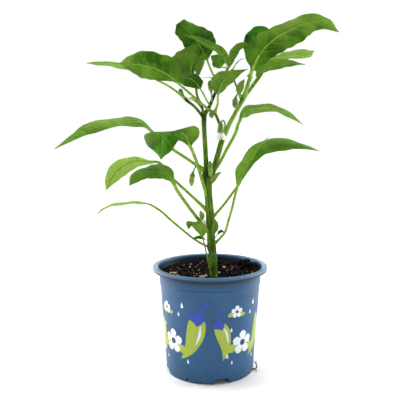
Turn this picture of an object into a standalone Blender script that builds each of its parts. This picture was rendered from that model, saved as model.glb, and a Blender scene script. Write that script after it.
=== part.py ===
"""A young chilli pepper plant in its nursery pot.

Lengths are in millimetres and are scaled to metres as each object is finished, with +Z up. The plant is laid
out about the pot's axis, with the pot's foot on z = 0 and -Y as the front. One empty then shifts everything
so that the world origin lies on the ground under the middle of the whole object's box.
"""

import math

import bmesh
import bpy
from mathutils import Matrix, Vector

MM = 0.001
GAP = 0.3  # kept between neighbouring solids
POT_AXIS_X = 27.5  # from the middle of the box, because the leaves reach further to the left
POT_AXIS_Y = 0.0

# Pot: a thin moulded shell with a turned-down lip and a raised, drained floor.
POT_HEIGHT = 120.0
RIM_R = 65.0
LIP_INNER_R = 58.2
LIP_DROP = 4.2
WALL = 1.1
WALL_TOP_R = 57.4
FOOT_R = 49.4
STEP_Z = 99.0
STEP_OUT = 0.5
FLOOR_Z = 6.6
POT_SIDES = 64
DRAIN_R = 4.0
DRAIN_CIRCLE_R = 36.0
DRAIN_ANGLES = (15, 75, 135, 195, 255, 315)

# Openings round the foot: four wide notches, with three nicks between each pair, the middle one taller.
NOTCH_ANGLES = (15, 105, 195, 285)
NOTCH_BOTTOM, NOTCH_TOP, NOTCH_HEIGHT = 21.5, 13.0, 5.8
NICK_BOTTOM, NICK_TOP = 5.2, 2.0
NICKS = ((27, 2.4), (45, 4.2), (63, 2.4))  # angle from the notch before, and height

# Growing medium: nearly level, with a heap against the wall at the back right.
SOIL_LEVEL = 110.6
SOIL_SIDES = 40
SOIL_RINGS = (0.94, 0.8, 0.62, 0.42, 0.22)
SOIL_FOOT_Z = FLOOR_Z + WALL + GAP
HEAPS = ((43, 20, 11, 8.0), (26, 40, 13, 3.0), (-30, 34, 15, 1.6), (14, -40, 12, -1.2))  # x, y, reach, height
STEM_FOOT = Vector((4.0, -14.0))
FOOT_LEVEL = 110.0

TUBE_SIDES = 8
LEAF_STATIONS = 8
PETIOLE_STEP = 14.0
PETIOLE_R = 1.2
BLADE_MID, BLADE_EDGE = 0.45, 0.22  # half thicknesses of a blade

# Each stem: the stem it grows from, then x, y, z and radius along its middle line.
STEMS = {
    "main_stem": (None, (
        (4, -14, 110.3, 4.2), (4, -14, 128, 3.7), (2, -14, 145, 3.9), (1, -13, 181, 3.6), (-2, -12, 206, 3.5),
        (-4, -12, 224, 3.5), (-5, -11, 236, 2.5), (-7, -10, 271, 2.3), (-6, -10, 288, 2.4), (-1, -9, 296, 1.7),
        (6, -7, 312, 1.5), (13, -5, 326, 1.4), (20, -4, 339, 1.2),
    )),
    "right_stem": ("main_stem", (
        (-4, -12, 219, 3.2), (2, -12, 228, 2.9), (9, -11, 250, 2.8), (13, -10, 264, 2.8), (17, -10, 271, 2.6),
        (21, -10, 281, 2.5), (29, -10, 296, 2.5), (35, -10, 308, 2.1), (39, -11, 318, 1.8), (42, -12, 328, 1.7),
    )),
    "branch_d": ("right_stem", ((12, -10, 262, 1.8), (11, -14, 275, 1.6), (7, -17, 285, 1.5), (4, -18, 291, 1.6))),
    "twig_a": ("main_stem", ((-7, -10, 286, 1.5), (-17, -10, 298, 1.4), (-27, -8, 306, 1.3))),
    "twig_b": ("main_stem", ((-7, -10, 284, 1.4), (-9, -3, 297, 1.3), (-14, 2, 308, 1.2), (-16, 6, 320, 1.0))),
    "twig_e": ("right_stem", ((32, -10, 302, 1.7), (45, -4, 316, 1.5), (55, -1, 330, 1.4), (59, 0, 338, 1.2))),
    "crown_twig": ("right_stem", ((33, -10, 305, 1.1), (29, -15, 315, 1.0), (25, -13, 326, 0.9), (23, -9, 336, 0.9))),
}

# Each leaf: the stem it grows from, its route in x, y, z from that stem along petiole and midrib to the tip,
# how many of those points are petiole, its left and right half widths looking along it, how far along the
# blade it is widest, its rolls in degrees from base to tip, and the rise of each half above the midrib. A
# heading in degrees from +X is given where the route doesn't show one.
LEAVES = {
    "leaf_top_left": dict(
        stem="branch_d", petiole=3, widths=(19, 15), widest=0.45, rolls=(55, 60, 40), rise=15,
        route=((3, -18, 290), (-12, -22, 303), (-32, -29, 319), (-38, -31, 324), (-54, -37, 332),
               (-71, -42, 336), (-92, -44, 337))),
    "leaf_far_left": dict(
        stem="twig_a", petiole=3, widths=(9, 9), widest=0.4, rolls=(30, 25, 20), rise=10,
        route=((-25, -8, 305), (-42, 0, 318), (-57, 8, 326), (-70, 14, 334), (-90, 20, 343), (-116, 26, 348),
               (-141, 30, 348))),
    "leaf_crown_fan": dict(
        stem="twig_b", petiole=2, widths=(6, 20), widest=0.5, rolls=(0, 0), rise=5, heading=-90,
        route=((-16, 6, 320), (-20, 5, 327), (-21, 3, 336), (-18, 2, 349), (-14, 2, 364))),
    "leaf_crown_bright": dict(
        stem="twig_b", petiole=2, widths=(5, 5.5), widest=0.55, rolls=(0, 0), rise=5, heading=-90,
        route=((-15, 4, 314), (-13.6, 7, 329), (-12.8, 7.5, 342), (-7, 7, 355))),
    "leaf_crown_dark": dict(
        stem="main_stem", petiole=3, widths=(8, 9), widest=0.45, rolls=(-50, -55, -50), rise=5,
        route=((1, -9, 297), (-5, -14, 305), (-10, -18, 314), (-18, -20, 323), (-28, -18, 327), (-37, -12, 330))),
    "leaf_crown_front": dict(
        stem="branch_d", petiole=3, widths=(10, 12), widest=0.35, rolls=(0, -20, -60), rise=5, heading=-70,
        route=((6, -18, 290), (8, -24, 299), (8, -28, 307), (13, -32, 320), (24, -34, 328), (39, -32, 333))),
    "leaf_crown_tall": dict(
        stem="main_stem", petiole=3, widths=(16, 17), widest=0.55, rolls=(-60, -60), rise=5,
        route=((13, -4, 325), (4, 4, 331), (-3, 12, 348), (-11, 17, 364), (-22, 22, 379), (-34, 28, 391))),
    "leaf_crown_folded": dict(
        stem="main_stem", petiole=1, widths=(6, 4), widest=0.35, rolls=(40, 40), rise=20,
        route=((20, -6, 339), (16, -12, 347), (8, -14, 355), (-6, -14, 362), (-17, -12, 368), (-29, -10, 371))),
    "leaf_crown_small": dict(
        stem="main_stem", petiole=2, widths=(8, 7), widest=0.45, rolls=(-60, -60), rise=5,
        route=((19, -3, 338), (13, 4, 338), (11, 8, 341), (7, 12, 347), (1, 16, 351))),
    "leaf_crown_bent": dict(
        stem="main_stem", petiole=1, widths=(5, 5), widest=0.45, rolls=(-60, -60), rise=5, heading=0,
        route=((20, -2, 338), (23, -3, 351), (27, -4, 359), (35, -6, 362), (42, -6, 360))),
    "leaf_right_shaded": dict(
        stem="right_stem", heading=0, petiole=2, widths=(13, 9), widest=0.58, rolls=(120, 120), rise=5,
        route=((42, -10, 324), (45, 2, 338), (44.5, 9, 351), (48, 15, 366), (57, 22, 377), (70, 29, 382))),
    "leaf_top_right": dict(
        stem="right_stem", petiole=2, widths=(20, 13), widest=0.38, rolls=(-60, -65, -50), rise=10,
        route=((42, -12, 328), (46, -15, 341), (54, -20, 353), (66, -26, 364), (83, -32, 373), (104, -38, 378),
               (129, -44, 367))),
    "leaf_right_curled": dict(
        stem="twig_e", petiole=2, widths=(8, 8), widest=0.6, rolls=(-40, -40), rise=10,
        route=((58, 0, 336), (57, 7, 341), (65, 12, 347), (78.5, 18, 353.5), (97, 25, 357),
               (117, 32, 358.4))),
    "leaf_right_slim": dict(
        stem="twig_e", petiole=2, widths=(9, 8), widest=0.35, rolls=(-50, -50), rise=10,
        route=((46, -5, 320), (50, -9, 328), (57, -8, 335), (68, -7, 340.4), (83, -8, 342.6),
               (102, -10, 341))),
    "leaf_axil_right": dict(
        stem="right_stem", petiole=2, widths=(4, 4), widest=0.4, rolls=(0, 0), rise=10, heading=-90,
        route=((33, -10, 305), (31, -19, 309), (31, -21, 314), (33, -22, 319), (36, -22, 324))),
    "leaf_arch_right": dict(
        stem="main_stem", petiole=5, widths=(9, 9), widest=0.3, rolls=(-35, -30, -30), rise=10,
        route=((0, -11, 219), (8, -4, 233), (18, 2, 249), (29, 6, 269), (33, 8, 285), (40, 10, 294),
               (54, 14, 297), (72, 20, 297), (91, 26, 290), (107, 30, 279))),
    "leaf_low_right_narrow": dict(
        stem="main_stem", petiole=5, widths=(5, 5), widest=0.45, rolls=(60, 60), rise=5,
        route=((4, -14, 146), (16, -22, 160), (20, -26, 173), (24, -30, 188), (29, -33, 212), (32, -36, 229),
               (43, -40, 246), (60, -44, 264))),
    "leaf_low_right": dict(
        stem="main_stem", petiole=4, widths=(11, 11), widest=0.4, rolls=(45, 45, 30), rise=5,
        route=((2, -12, 174), (13, -6, 188), (24, 0, 202), (33, 4, 214), (39, 8, 231), (49, 13, 245),
               (66, 20, 254), (92, 28, 256), (129, 34, 247))),
    "leaf_droop_front": dict(
        stem="main_stem", petiole=4, widths=(20, 19), widest=0.42, rolls=(0, 0), rise=5, heading=-120,
        route=((-2, -12, 196), (-7.4, -17.6, 211), (-14.4, -23, 237), (-21, -33, 254.5), (-25, -40, 264.4),
               (-32, -47, 268.5), (-40.5, -53, 269), (-46.5, -58, 264), (-49.2, -63, 241))),
    "leaf_arch_left": dict(
        stem="main_stem", petiole=4, widths=(11, 11), widest=0.35, rolls=(25, 30, 25), rise=5,
        route=((-4, -12, 225), (-22, -6, 238), (-43, 2, 252), (-64, 10, 270), (-76, 14, 281), (-94, 20, 282),
               (-124, 28, 278), (-154, 34, 268), (-184, 38, 250))),
    "leaf_low_left_front": dict(
        stem="main_stem", petiole=5, widths=(11, 9), widest=0.3, rolls=(-40, -40), rise=5,
        route=((1, -13, 157), (-15.2, -17, 177.5), (-26.8, -20, 193.5), (-36.2, -26, 208.5),
               (-39.8, -31, 217.5), (-46, -34, 226), (-59, -40, 228.5), (-74, -46, 226.5), (-83, -50, 214))),
    "leaf_low_left": dict(
        stem="main_stem", petiole=4, widths=(10, 10), widest=0.5, rolls=(50, 60, 60), rise=5,
        route=((-2, -13, 182), (-22, -6, 202), (-43, 0, 221), (-55, 4, 235), (-68, 8, 236), (-86, 12, 237),
               (-107, 16, 225), (-120, 18, 203))),
    "leaf_lowest_left": dict(
        stem="main_stem", petiole=5, widths=(6, 6), widest=0.35, rolls=(20, 20), rise=5,
        route=((1, -14, 142), (-8, -12, 146), (-20, -9, 153), (-44, -4, 173), (-64, 2, 187), (-80, 6, 191),
               (-106, 12, 187), (-131, 16, 176))),
    "leaf_basal": dict(
        stem="main_stem", petiole=4, widths=(8, 8), widest=0.45, rolls=(0, 0), rise=5, heading=-110,
        route=((1, -17, 112), (-3, -20, 133), (-6, -21, 146), (-8, -22, 156), (-10, -24, 166), (-16, -26, 173),
               (-22, -30, 172), (-23, -33, 166))),
    "leaflet_left_dark": dict(
        stem="main_stem", petiole=2, widths=(3, 3), widest=0.45, rolls=(-30, -30), rise=5,
        route=((1, -16, 148), (-5, -25, 154), (-12, -28, 157), (-19, -30, 155))),
    "leaflet_right_dark": dict(
        stem="main_stem", petiole=2, widths=(3, 3), widest=0.45, rolls=(30, 30), rise=5,
        route=((3, -13, 151), (8, -13, 157), (11, -13, 161), (16, -14, 160))),
    "leaflet_right_light": dict(
        stem="main_stem", petiole=2, widths=(4, 4), widest=0.45, rolls=(0, 0), rise=5, heading=-90,
        route=((3, -10, 152), (7, -6, 159), (8, -5, 165), (5, -5, 173))),
    "leaflet_spike": dict(
        stem="main_stem", petiole=1, widths=(1.4, 1.4), widest=0.45, rolls=(0, 0), rise=5,
        route=((2, -14, 170), (5, -19, 171), (12, -20, 172))),
    "leaflet_left_light": dict(
        stem="main_stem", petiole=2, widths=(3, 3), widest=0.45, rolls=(0, 0), rise=5, heading=-90,
        route=((-2, -14, 166), (-8, -19, 174), (-9, -20, 180), (-11, -21, 185))),
    "leaflet_left_small": dict(
        stem="main_stem", petiole=2, widths=(3, 3), widest=0.45, rolls=(0, 0), rise=5,
        route=((-2, -14, 169), (-7, -8, 172), (-10, -6, 174), (-15, -4, 172))),
    "leaflet_fork": dict(
        stem="main_stem", petiole=1, widths=(3, 3), widest=0.4, rolls=(0, 0), rise=5,
        route=((1, -12, 208), (3, -16, 215), (6, -18, 221), (11, -20, 223))),
    "leaflet_crown_left": dict(
        stem="main_stem", petiole=1, widths=(1.4, 1.4), widest=0.45, rolls=(0, 0), rise=5,
        route=((12, -6, 325), (5, -12, 326), (-1, -13, 327), (-8, -13, 327))),
    "leaflet_crown_right": dict(
        stem="crown_twig", petiole=1, widths=(1.4, 1.4), widest=0.45, rolls=(0, 0), rise=5,
        route=((24, -10, 335), (28, -13, 342), (33, -15, 346), (37, -16, 346))),
}

# Each bud: the stem it hangs from, then x, y, z and radius along stalk, calyx and bud.
BUDS = {
    "bud_fork": ("main_stem", (
        (-2, -14, 219, 0.8), (0, -18, 228, 0.8), (0, -20, 238, 1.2), (0, -21, 236, 2.6), (0, -22, 229, 2.7),
        (0, -22, 223, 0.9))),
    "bud_left": ("main_stem", (
        (-4, -12, 227, 0.8), (-9, -17, 232, 0.8), (-14, -20, 234, 0.8), (-18, -21, 227, 0.9), (-19, -21, 223, 2.4),
        (-20, -21, 217, 2.8), (-20, -21, 212, 1.2))),
    "bud_crown_dark": ("main_stem", ((2, -9, 301, 0.8), (1, -17, 307, 0.9), (-1, -20, 312, 2.1), (-2, -21, 319, 1.2))),
    "bud_right": ("right_stem", (
        (32, -10, 303, 0.8), (28, -18, 308, 0.8), (25, -20, 305, 1.0), (24, -20, 301, 2.6), (24, -20, 297, 2.8),
        (24, -20, 294, 1.2))),
    "bud_twig": ("twig_a", ((-25, -8, 305, 0.8), (-28, -12, 307, 0.9), (-31, -14, 310, 2.3), (-31, -14, 314, 1.2))),
    "bud_cream": ("main_stem", (
        (-6, -10, 289, 0.8), (-11, -15, 297, 0.8), (-15, -17, 303, 2.0), (-19, -18, 304, 1.9), (-23, -18, 304, 0.8))),
    "bud_node": ("branch_d", ((5, -18, 289, 0.8), (2, -22, 290, 0.9), (1, -24, 288, 2.2), (2, -25, 284, 1.2))),
}

# The first open flower nods under its calyx, just left of the right stem.
FLOWER_STALK = (
    (13, -10, 263, 0.9), (16, -17, 276, 0.9), (14, -23, 281, 0.9), (11.5, -26, 278, 1.0), (11, -27, 274, 2.6),
    (11, -27, 269, 3.0))
FLOWER_AXIS_X, FLOWER_AXIS_Y, FLOWER_TOP_Z = 11.0, -27.0, 268.7
PETALS = 6
COROLLA = ((0.0, 2.0, 0.0), (2.5, 4.0, 0.1), (5.5, 6.0, 0.28), (8.2, 6.6, 0.4))  # drop, radius, depth of the lobes
COROLLA_WALL = 0.5
STAMENS = ((0.9, 1.0), (3.0, 1.6), (6.5, 1.3), (8.0, 0.5))  # drop and radius

# Loose pieces on the growing medium: place and size.
CHIPS = {
    "bark_chip_stem": ((-7, -24), (8.0, 5.0, 2.2), 20),
    "bark_chip_left": ((-41, -8), (9.0, 5.0, 2.0), -25),
}

# A root that has grown out of a drain hole and through the nick before the right notch, and curls back to the wall.
ROOT = (
    (35.5, 9.4, 7.2, 0.7), (38.8, 7.6, 4.0, 0.8), (42.6, 0.6, 1.7, 0.8), (45.2, -8.6, 1.2, 0.8), (48.0, -10.2, 1.2, 0.8),
    (51.0, -12.0, 1.4, 0.8), (53.0, -12.9, 3.6, 0.8), (53.0, -12.6, 6.4, 0.8), (51.5, -12.0, 9.2, 0.7),
    (50.2, -11.8, 10.4, 0.6))


def clear_scene():
    for item in list(bpy.data.objects):
        bpy.data.objects.remove(item)


def make_material(name, colour, roughness):
    material = bpy.data.materials.new(name)
    material.use_nodes = True
    shader = material.node_tree.nodes["Principled BSDF"]
    shader.inputs["Base Color"].default_value = (*colour, 1.0)
    shader.inputs["Roughness"].default_value = roughness
    shader.inputs["Metallic"].default_value = 0.0
    material.diffuse_color = (*colour, 1.0)
    return material


def add_object(name, data, material):
    """An object at the pot's axis, holding a mesh or curve that is already in metres."""
    data.materials.append(material)
    item = bpy.data.objects.new(name, data)
    bpy.context.collection.objects.link(item)
    item.parent = bpy.data.objects["pot_axis"]
    return item


def finish_mesh(name, bm, material, sharp_angle=40):
    """Turns a mesh drawn in millimetres into an object in metres."""
    bmesh.ops.recalc_face_normals(bm, faces=bm.faces)
    bmesh.ops.scale(bm, vec=(MM, MM, MM), verts=bm.verts)
    mesh = bpy.data.meshes.new(name)
    bm.to_mesh(mesh)
    bm.free()
    mesh.shade_smooth()
    mesh.set_sharp_from_angle(angle=math.radians(sharp_angle))
    return add_object(name, mesh, material)


def lathe(outline, sides):
    """Turns an outline of (radius, z) about Z. The outline starts and ends on the axis."""
    bm = bmesh.new()
    points = [bm.verts.new((r, 0, z)) for r, z in outline]
    edges = [bm.edges.new(pair) for pair in zip(points, points[1:])]
    bmesh.ops.spin(bm, geom=points + edges, cent=(0, 0, 0), axis=(0, 0, 1), angle=math.tau, steps=sides,
                   use_merge=True)
    bmesh.ops.remove_doubles(bm, verts=bm.verts, dist=0.001)
    return bm


def loft(rings):
    """A closed skin through rings that all have the same number of points: one face, extruded ring by ring."""
    bm = bmesh.new()
    end = bm.faces.new([bm.verts.new(point) for point in rings[0]])
    for i, ring in enumerate(rings[1:]):
        grown = bmesh.ops.extrude_face_region(bm, geom=[end], use_keep_orig=True)
        if i > 0:
            bm.faces.remove(end)
        end = next(item for item in grown["geom"] if isinstance(item, bmesh.types.BMFace))
        for vert, point in zip(end.verts, ring):
            vert.co = point
    return bm


def smooth_route(points, spacing):
    """Points along a Catmull-Rom curve, about one every spacing. Anything after z, such as a radius, is kept."""
    knots = [Vector(point) for point in points]
    knots = [2 * knots[0] - knots[1], *knots, 2 * knots[-1] - knots[-2]]
    route = []
    for a, b, c, d in zip(knots, knots[1:], knots[2:], knots[3:]):
        steps = max(1, round((c.xyz - b.xyz).length / spacing))
        for i in range(steps):
            t = i / steps
            route.append(0.5 * (2 * b + (c - a) * t + (2 * a - 5 * b + 4 * c - d) * t * t
                                + (3 * b - a - 3 * c + d) * t ** 3))
    route.append(knots[-2])
    return route


def direction(route, i):
    """The unit tangent of a route at its point i."""
    return (route[min(i + 1, len(route) - 1)].xyz - route[max(i - 1, 0)].xyz).normalized()


def spread(route, count):
    """count + 1 points at equal distances along a route."""
    reach = [0.0]
    for a, b in zip(route, route[1:]):
        reach.append(reach[-1] + (b.xyz - a.xyz).length)
    points, i = [], 0
    for k in range(count + 1):
        want = reach[-1] * k / count
        while i < len(route) - 2 and reach[i + 1] < want:
            i += 1
        share = (want - reach[i]) / max(reach[i + 1] - reach[i], 1e-9)
        points.append(route[i].lerp(route[i + 1], min(share, 1.0)))
    return points


def clearance(point, stem):
    """How far a point is outside a stem, which is a route with radii and flat ends."""
    nearest = math.inf
    for i, (a, b) in enumerate(zip(stem, stem[1:])):
        along = b.xyz - a.xyz
        t = (point - a.xyz).dot(along) / along.length_squared
        inside = min(max(t, 0.0), 1.0)
        radius = a.w + (b.w - a.w) * inside
        side = (point - a.xyz - along * t).length
        beyond = (t - 1.0) * along.length if i == len(stem) - 2 else 0.0
        if beyond > 0 and side < radius:
            gap = beyond
        else:
            gap = (point - a.xyz - along * inside).length - radius
        nearest = min(nearest, gap)
    return nearest


def circle(centre, along, radius, sides=8):
    """A ring of points round a direction, for testing and for round lofts."""
    across = along.orthogonal().normalized()
    up = along.cross(across)
    return [centre + radius * (math.cos(a) * across + math.sin(a) * up)
            for a in (math.tau * k / sides for k in range(sides))]


def clear_of(route, radius, stem):
    """The part of a route that starts just clear of the stem it grows from."""
    for i in range(len(route) - 1):
        ring = circle(route[i].xyz, direction(route, i), radius)
        if min(clearance(point, stem) for point in ring) > GAP:
            return route[i:]
    raise ValueError("a route never leaves its stem")


def add_stem(name, parent, points, material, grown):
    """A tapering tube along a smooth route, seated on the stem that carries it."""
    route = smooth_route(points, 0.3)
    if parent:
        route = clear_of(route, route[0].w, grown[parent])
    length = sum((b.xyz - a.xyz).length for a, b in zip(route, route[1:]))
    route = spread(route, max(5, round(length / 9)))
    curve = bpy.data.curves.new(name, "CURVE")
    curve.dimensions = "3D"
    curve.bevel_depth = MM
    curve.bevel_resolution = 2
    curve.use_fill_caps = True
    curve.twist_mode = "MINIMUM"
    spline = curve.splines.new("POLY")
    spline.points.add(len(route) - 1)
    for knot, point in zip(spline.points, route):
        knot.co = (*(point.xyz * MM), 1.0)
        knot.radius = point.w
    add_object(name, curve, material)
    grown[name] = route


def add_bud(name, parent, points, material, grown):
    """A stalk that swells into a calyx and a closed bud, all in one skin."""
    route = clear_of(smooth_route(points, 0.3), points[0][3], grown[parent])
    route = spread(route, 14)
    across = direction(route, 0).orthogonal()
    rings = []
    for i, point in enumerate(route):
        along = direction(route, i)
        across = (across - across.dot(along) * along).normalized()
        up = along.cross(across)
        rings.append([point.xyz + point.w * (math.cos(a) * across + math.sin(a) * up)
                      for a in (math.tau * k / 6 for k in range(6))])
    finish_mesh(name, loft(rings), material)


def blade_width(t, widest):
    """A chilli leaf's half width along its blade, as a share of its greatest: rounded base, drawn-out tip."""
    if t <= 0 or t >= 1:
        return 0.0
    return math.sin(math.pi * t ** (math.log(0.5) / math.log(widest))) ** 0.85


def between(values, t):
    """The value at t, from 0 to 1, among evenly spaced values."""
    place = t * (len(values) - 1)
    i = min(int(place), len(values) - 2)
    return values[i] + (values[i + 1] - values[i]) * (place - i)


def leaf_frame(along, heading, roll):
    """The right-hand side and upper face of a leaf at a point, from where it heads and how it is rolled."""
    level_side = Vector((math.sin(heading), -math.cos(heading), 0))
    face = level_side.cross(along).normalized()
    side = along.cross(face)
    return (side * math.cos(roll) - face * math.sin(roll), face * math.cos(roll) + side * math.sin(roll))


def leaf_ring(centre, side, face, left, right, rise, middle, edge):
    """Six points round a leaf: the right edge, the midrib and the left edge, on the upper and lower face."""
    out, up = math.cos(rise), math.sin(rise)
    right_edge = centre + right * (out * side + up * face)
    left_edge = centre + left * (up * face - out * side)
    return [right_edge + edge * face, centre + middle * face, left_edge + edge * face,
            left_edge - edge * face, centre - middle * face, right_edge - edge * face]


def add_leaf(name, material, grown, stem, route, petiole, widths, widest, rolls, rise, heading=None):
    """A petiole that opens into a blade of two halves, as one closed solid."""
    thickness = min(PETIOLE_R, 0.15 * sum(widths))
    base = Vector(route[petiole - 1])
    fine = clear_of(smooth_route(route, 0.4), thickness, grown[stem])
    split = max(1, min(range(len(fine)), key=lambda i: (fine[i] - base).length))
    stalk, blade = fine[:split + 1], fine[split:]
    if heading is None:
        run = blade[-1] - blade[0]
        heading = math.degrees(math.atan2(run.y, run.x))
    stalk_length = sum((b - a).length for a, b in zip(stalk, stalk[1:]))
    stalk = spread(stalk, max(1, round(stalk_length / PETIOLE_STEP)))
    points = stalk[:-1] + spread(blade, LEAF_STATIONS)
    rings = []
    for i, point in enumerate(points):
        t = max(0.0, (i - len(stalk) + 1) / LEAF_STATIONS)
        side, face = leaf_frame(direction(points, i), math.radians(heading), math.radians(between(rolls, t)))
        width = blade_width(t, widest)
        left, right = (max(thickness * 0.87, half * width) for half in widths)
        if i == len(points) - 1:
            left = right = 0.4
        thick = thickness + (BLADE_MID - thickness) * min(1.0, 3 * t)
        thin = thickness / 2 + (BLADE_EDGE - thickness / 2) * min(1.0, 4 * t)
        rings.append(leaf_ring(point, side, face, left, right, math.radians(rise) * min(1.0, 3 * t), thick, thin))
    finish_mesh(name, loft(rings), material, 60)


def wall_r(z):
    """The pot's outer radius at a height, with the small step that stacked pots rest on."""
    taper = FOOT_R + (WALL_TOP_R - STEP_OUT - FOOT_R) * z / (POT_HEIGHT - LIP_DROP)
    return taper + (STEP_OUT if z > STEP_Z else 0.0)


def add_pot(material):
    lip_z = POT_HEIGHT - LIP_DROP
    under = lip_z + 1.6
    outline = [
        (0, FLOOR_Z), (FOOT_R - WALL, FLOOR_Z), (FOOT_R - WALL - 0.3, 0), (wall_r(0), 0), (wall_r(STEP_Z), STEP_Z),
        (wall_r(STEP_Z + 1), STEP_Z + 1), (WALL_TOP_R, under), (RIM_R - WALL, under), (RIM_R - WALL, lip_z),
        (RIM_R - 0.3, lip_z), (RIM_R, lip_z + 0.8), (RIM_R, POT_HEIGHT - 1.6), (RIM_R - 1.6, POT_HEIGHT),
        (LIP_INNER_R + 1.2, POT_HEIGHT), (LIP_INNER_R, POT_HEIGHT - 1.0), (wall_r(105) - WALL, 105),
        (FOOT_R - WALL + 0.3, FLOOR_Z + WALL), (0, FLOOR_Z + WALL),
    ]
    pot = finish_mesh("pot", lathe(outline, POT_SIDES), material, 30)
    cut = pot.modifiers.new("openings", "BOOLEAN")
    cut.operation = "DIFFERENCE"
    cut.solver = "EXACT"
    cut.object = add_cutter(material)


def add_opening(bm, angle, bottom, top, height):
    """One opening in the foot: a block through the wall that narrows upwards."""
    corners = bmesh.ops.create_cube(bm, size=1.0)["verts"]
    for corner in corners:
        upper = corner.co.z > 0
        width = top if upper else bottom
        corner.co = (FOOT_R + 8 * corner.co.x, width * corner.co.y, height if upper else -1.0)
    bmesh.ops.rotate(bm, verts=corners, cent=(0, 0, 0), matrix=Matrix.Rotation(math.radians(angle), 3, "Z"))


def add_cutter(material):
    """Every opening in the pot's foot and floor, as one guide object."""
    bm = bmesh.new()
    for angle in NOTCH_ANGLES:
        add_opening(bm, angle, NOTCH_BOTTOM, NOTCH_TOP, NOTCH_HEIGHT)
        for offset, height in NICKS:
            add_opening(bm, angle + offset, NICK_BOTTOM, NICK_TOP, height)
    for angle in DRAIN_ANGLES:
        place = Matrix.Rotation(math.radians(angle), 4, "Z") @ Matrix.Translation((DRAIN_CIRCLE_R, 0, FLOOR_Z))
        bmesh.ops.create_cone(bm, cap_ends=True, segments=16, radius1=DRAIN_R, radius2=DRAIN_R, depth=6, matrix=place)
    cutter = finish_mesh("pot_openings", bm, material)
    cutter.hide_render = True
    cutter.display_type = "WIRE"
    return cutter


def soil_z(x, y):
    """The height of the growing medium: lumps and heaps, trodden flat where the stem stands."""
    lumps = 0.7 * math.sin(x / 4.1 + 1) * math.cos(y / 4.7) + 0.5 * math.sin((x + y) / 6.3)
    heaps = sum(h * math.exp(-((x - hx) ** 2 + (y - hy) ** 2) / reach ** 2) for hx, hy, reach, h in HEAPS)
    away = ((x - STEM_FOOT.x) ** 2 + (y - STEM_FOOT.y) ** 2) ** 0.5
    rough = min(1.0, max(0.0, (away - 12) / 10))
    return FOOT_LEVEL + rough * (SOIL_LEVEL - FOOT_LEVEL + lumps + heaps)


def add_soil(material):
    """The root ball, filling the pot from its floor to just under the rim."""
    turns = [math.tau * k / SOIL_SIDES for k in range(SOIL_SIDES)]
    top_r = wall_r(SOIL_LEVEL) - WALL - GAP - 0.8
    foot_r = FOOT_R - WALL - GAP
    rings = [[(foot_r * math.cos(a), foot_r * math.sin(a), SOIL_FOOT_Z) for a in turns]]
    for share in (1.0, *SOIL_RINGS):
        r = top_r * share
        rings.append([(r * math.cos(a), r * math.sin(a), soil_z(r * math.cos(a), r * math.sin(a))) for a in turns])
    bm = loft([[Vector(point) for point in ring] for ring in rings])
    crown = max(bm.faces, key=lambda face: (len(face.verts), face.calc_center_median().z))
    bmesh.ops.poke(bm, faces=[crown])
    finish_mesh("growing_medium", bm, material)


def add_chip(name, material, place, size, turn):
    """A flat crumb of bark lying on the growing medium."""
    x, y = place
    half = [length / 2 for length in size]
    floor = max(soil_z(x + dx, y + dy) for dx in (-half[0], 0, half[0]) for dy in (-half[1], 0, half[1]))
    bm = bmesh.new()
    bmesh.ops.create_icosphere(bm, subdivisions=1, radius=1.0)
    bmesh.ops.scale(bm, vec=half, verts=bm.verts)
    bmesh.ops.rotate(bm, verts=bm.verts, matrix=Matrix.Rotation(math.radians(turn), 3, "Z"))
    bmesh.ops.translate(bm, vec=(x, y, floor + GAP + half[2]), verts=bm.verts)
    finish_mesh(name, bm, material)


def add_tube(name, points, material):
    """A free round tube with a radius at each point."""
    route = spread(smooth_route(points, 1.0), 14)
    rings = [circle(point.xyz, direction(route, i), point.w) for i, point in enumerate(route)]
    finish_mesh(name, loft(rings), material)


def star_ring(drop, radius, lobes):
    """A ring of the flower below its top, drawn out into one lobe for each petal."""
    return [Vector((FLOWER_AXIS_X + r * math.cos(a), FLOWER_AXIS_Y + r * math.sin(a), FLOWER_TOP_Z - drop))
            for a, r in ((a, radius * (1 + lobes * math.cos(PETALS * a)))
                         for a in (math.tau * k / (4 * PETALS) for k in range(4 * PETALS)))]


def add_flower(calyx_material, petal_material, stamen_material, grown):
    add_bud("flower_calyx", "right_stem", FLOWER_STALK, calyx_material, grown)
    outer = [star_ring(*ring) for ring in COROLLA]
    inner = [star_ring(drop + (COROLLA_WALL if drop < 8 else 0), radius - COROLLA_WALL, lobes)
             for drop, radius, lobes in reversed(COROLLA)]
    finish_mesh("flower_corolla", loft(outer + inner), petal_material)
    finish_mesh("flower_stamens", loft([star_ring(drop, radius, 0) for drop, radius in STAMENS]), stamen_material)


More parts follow.
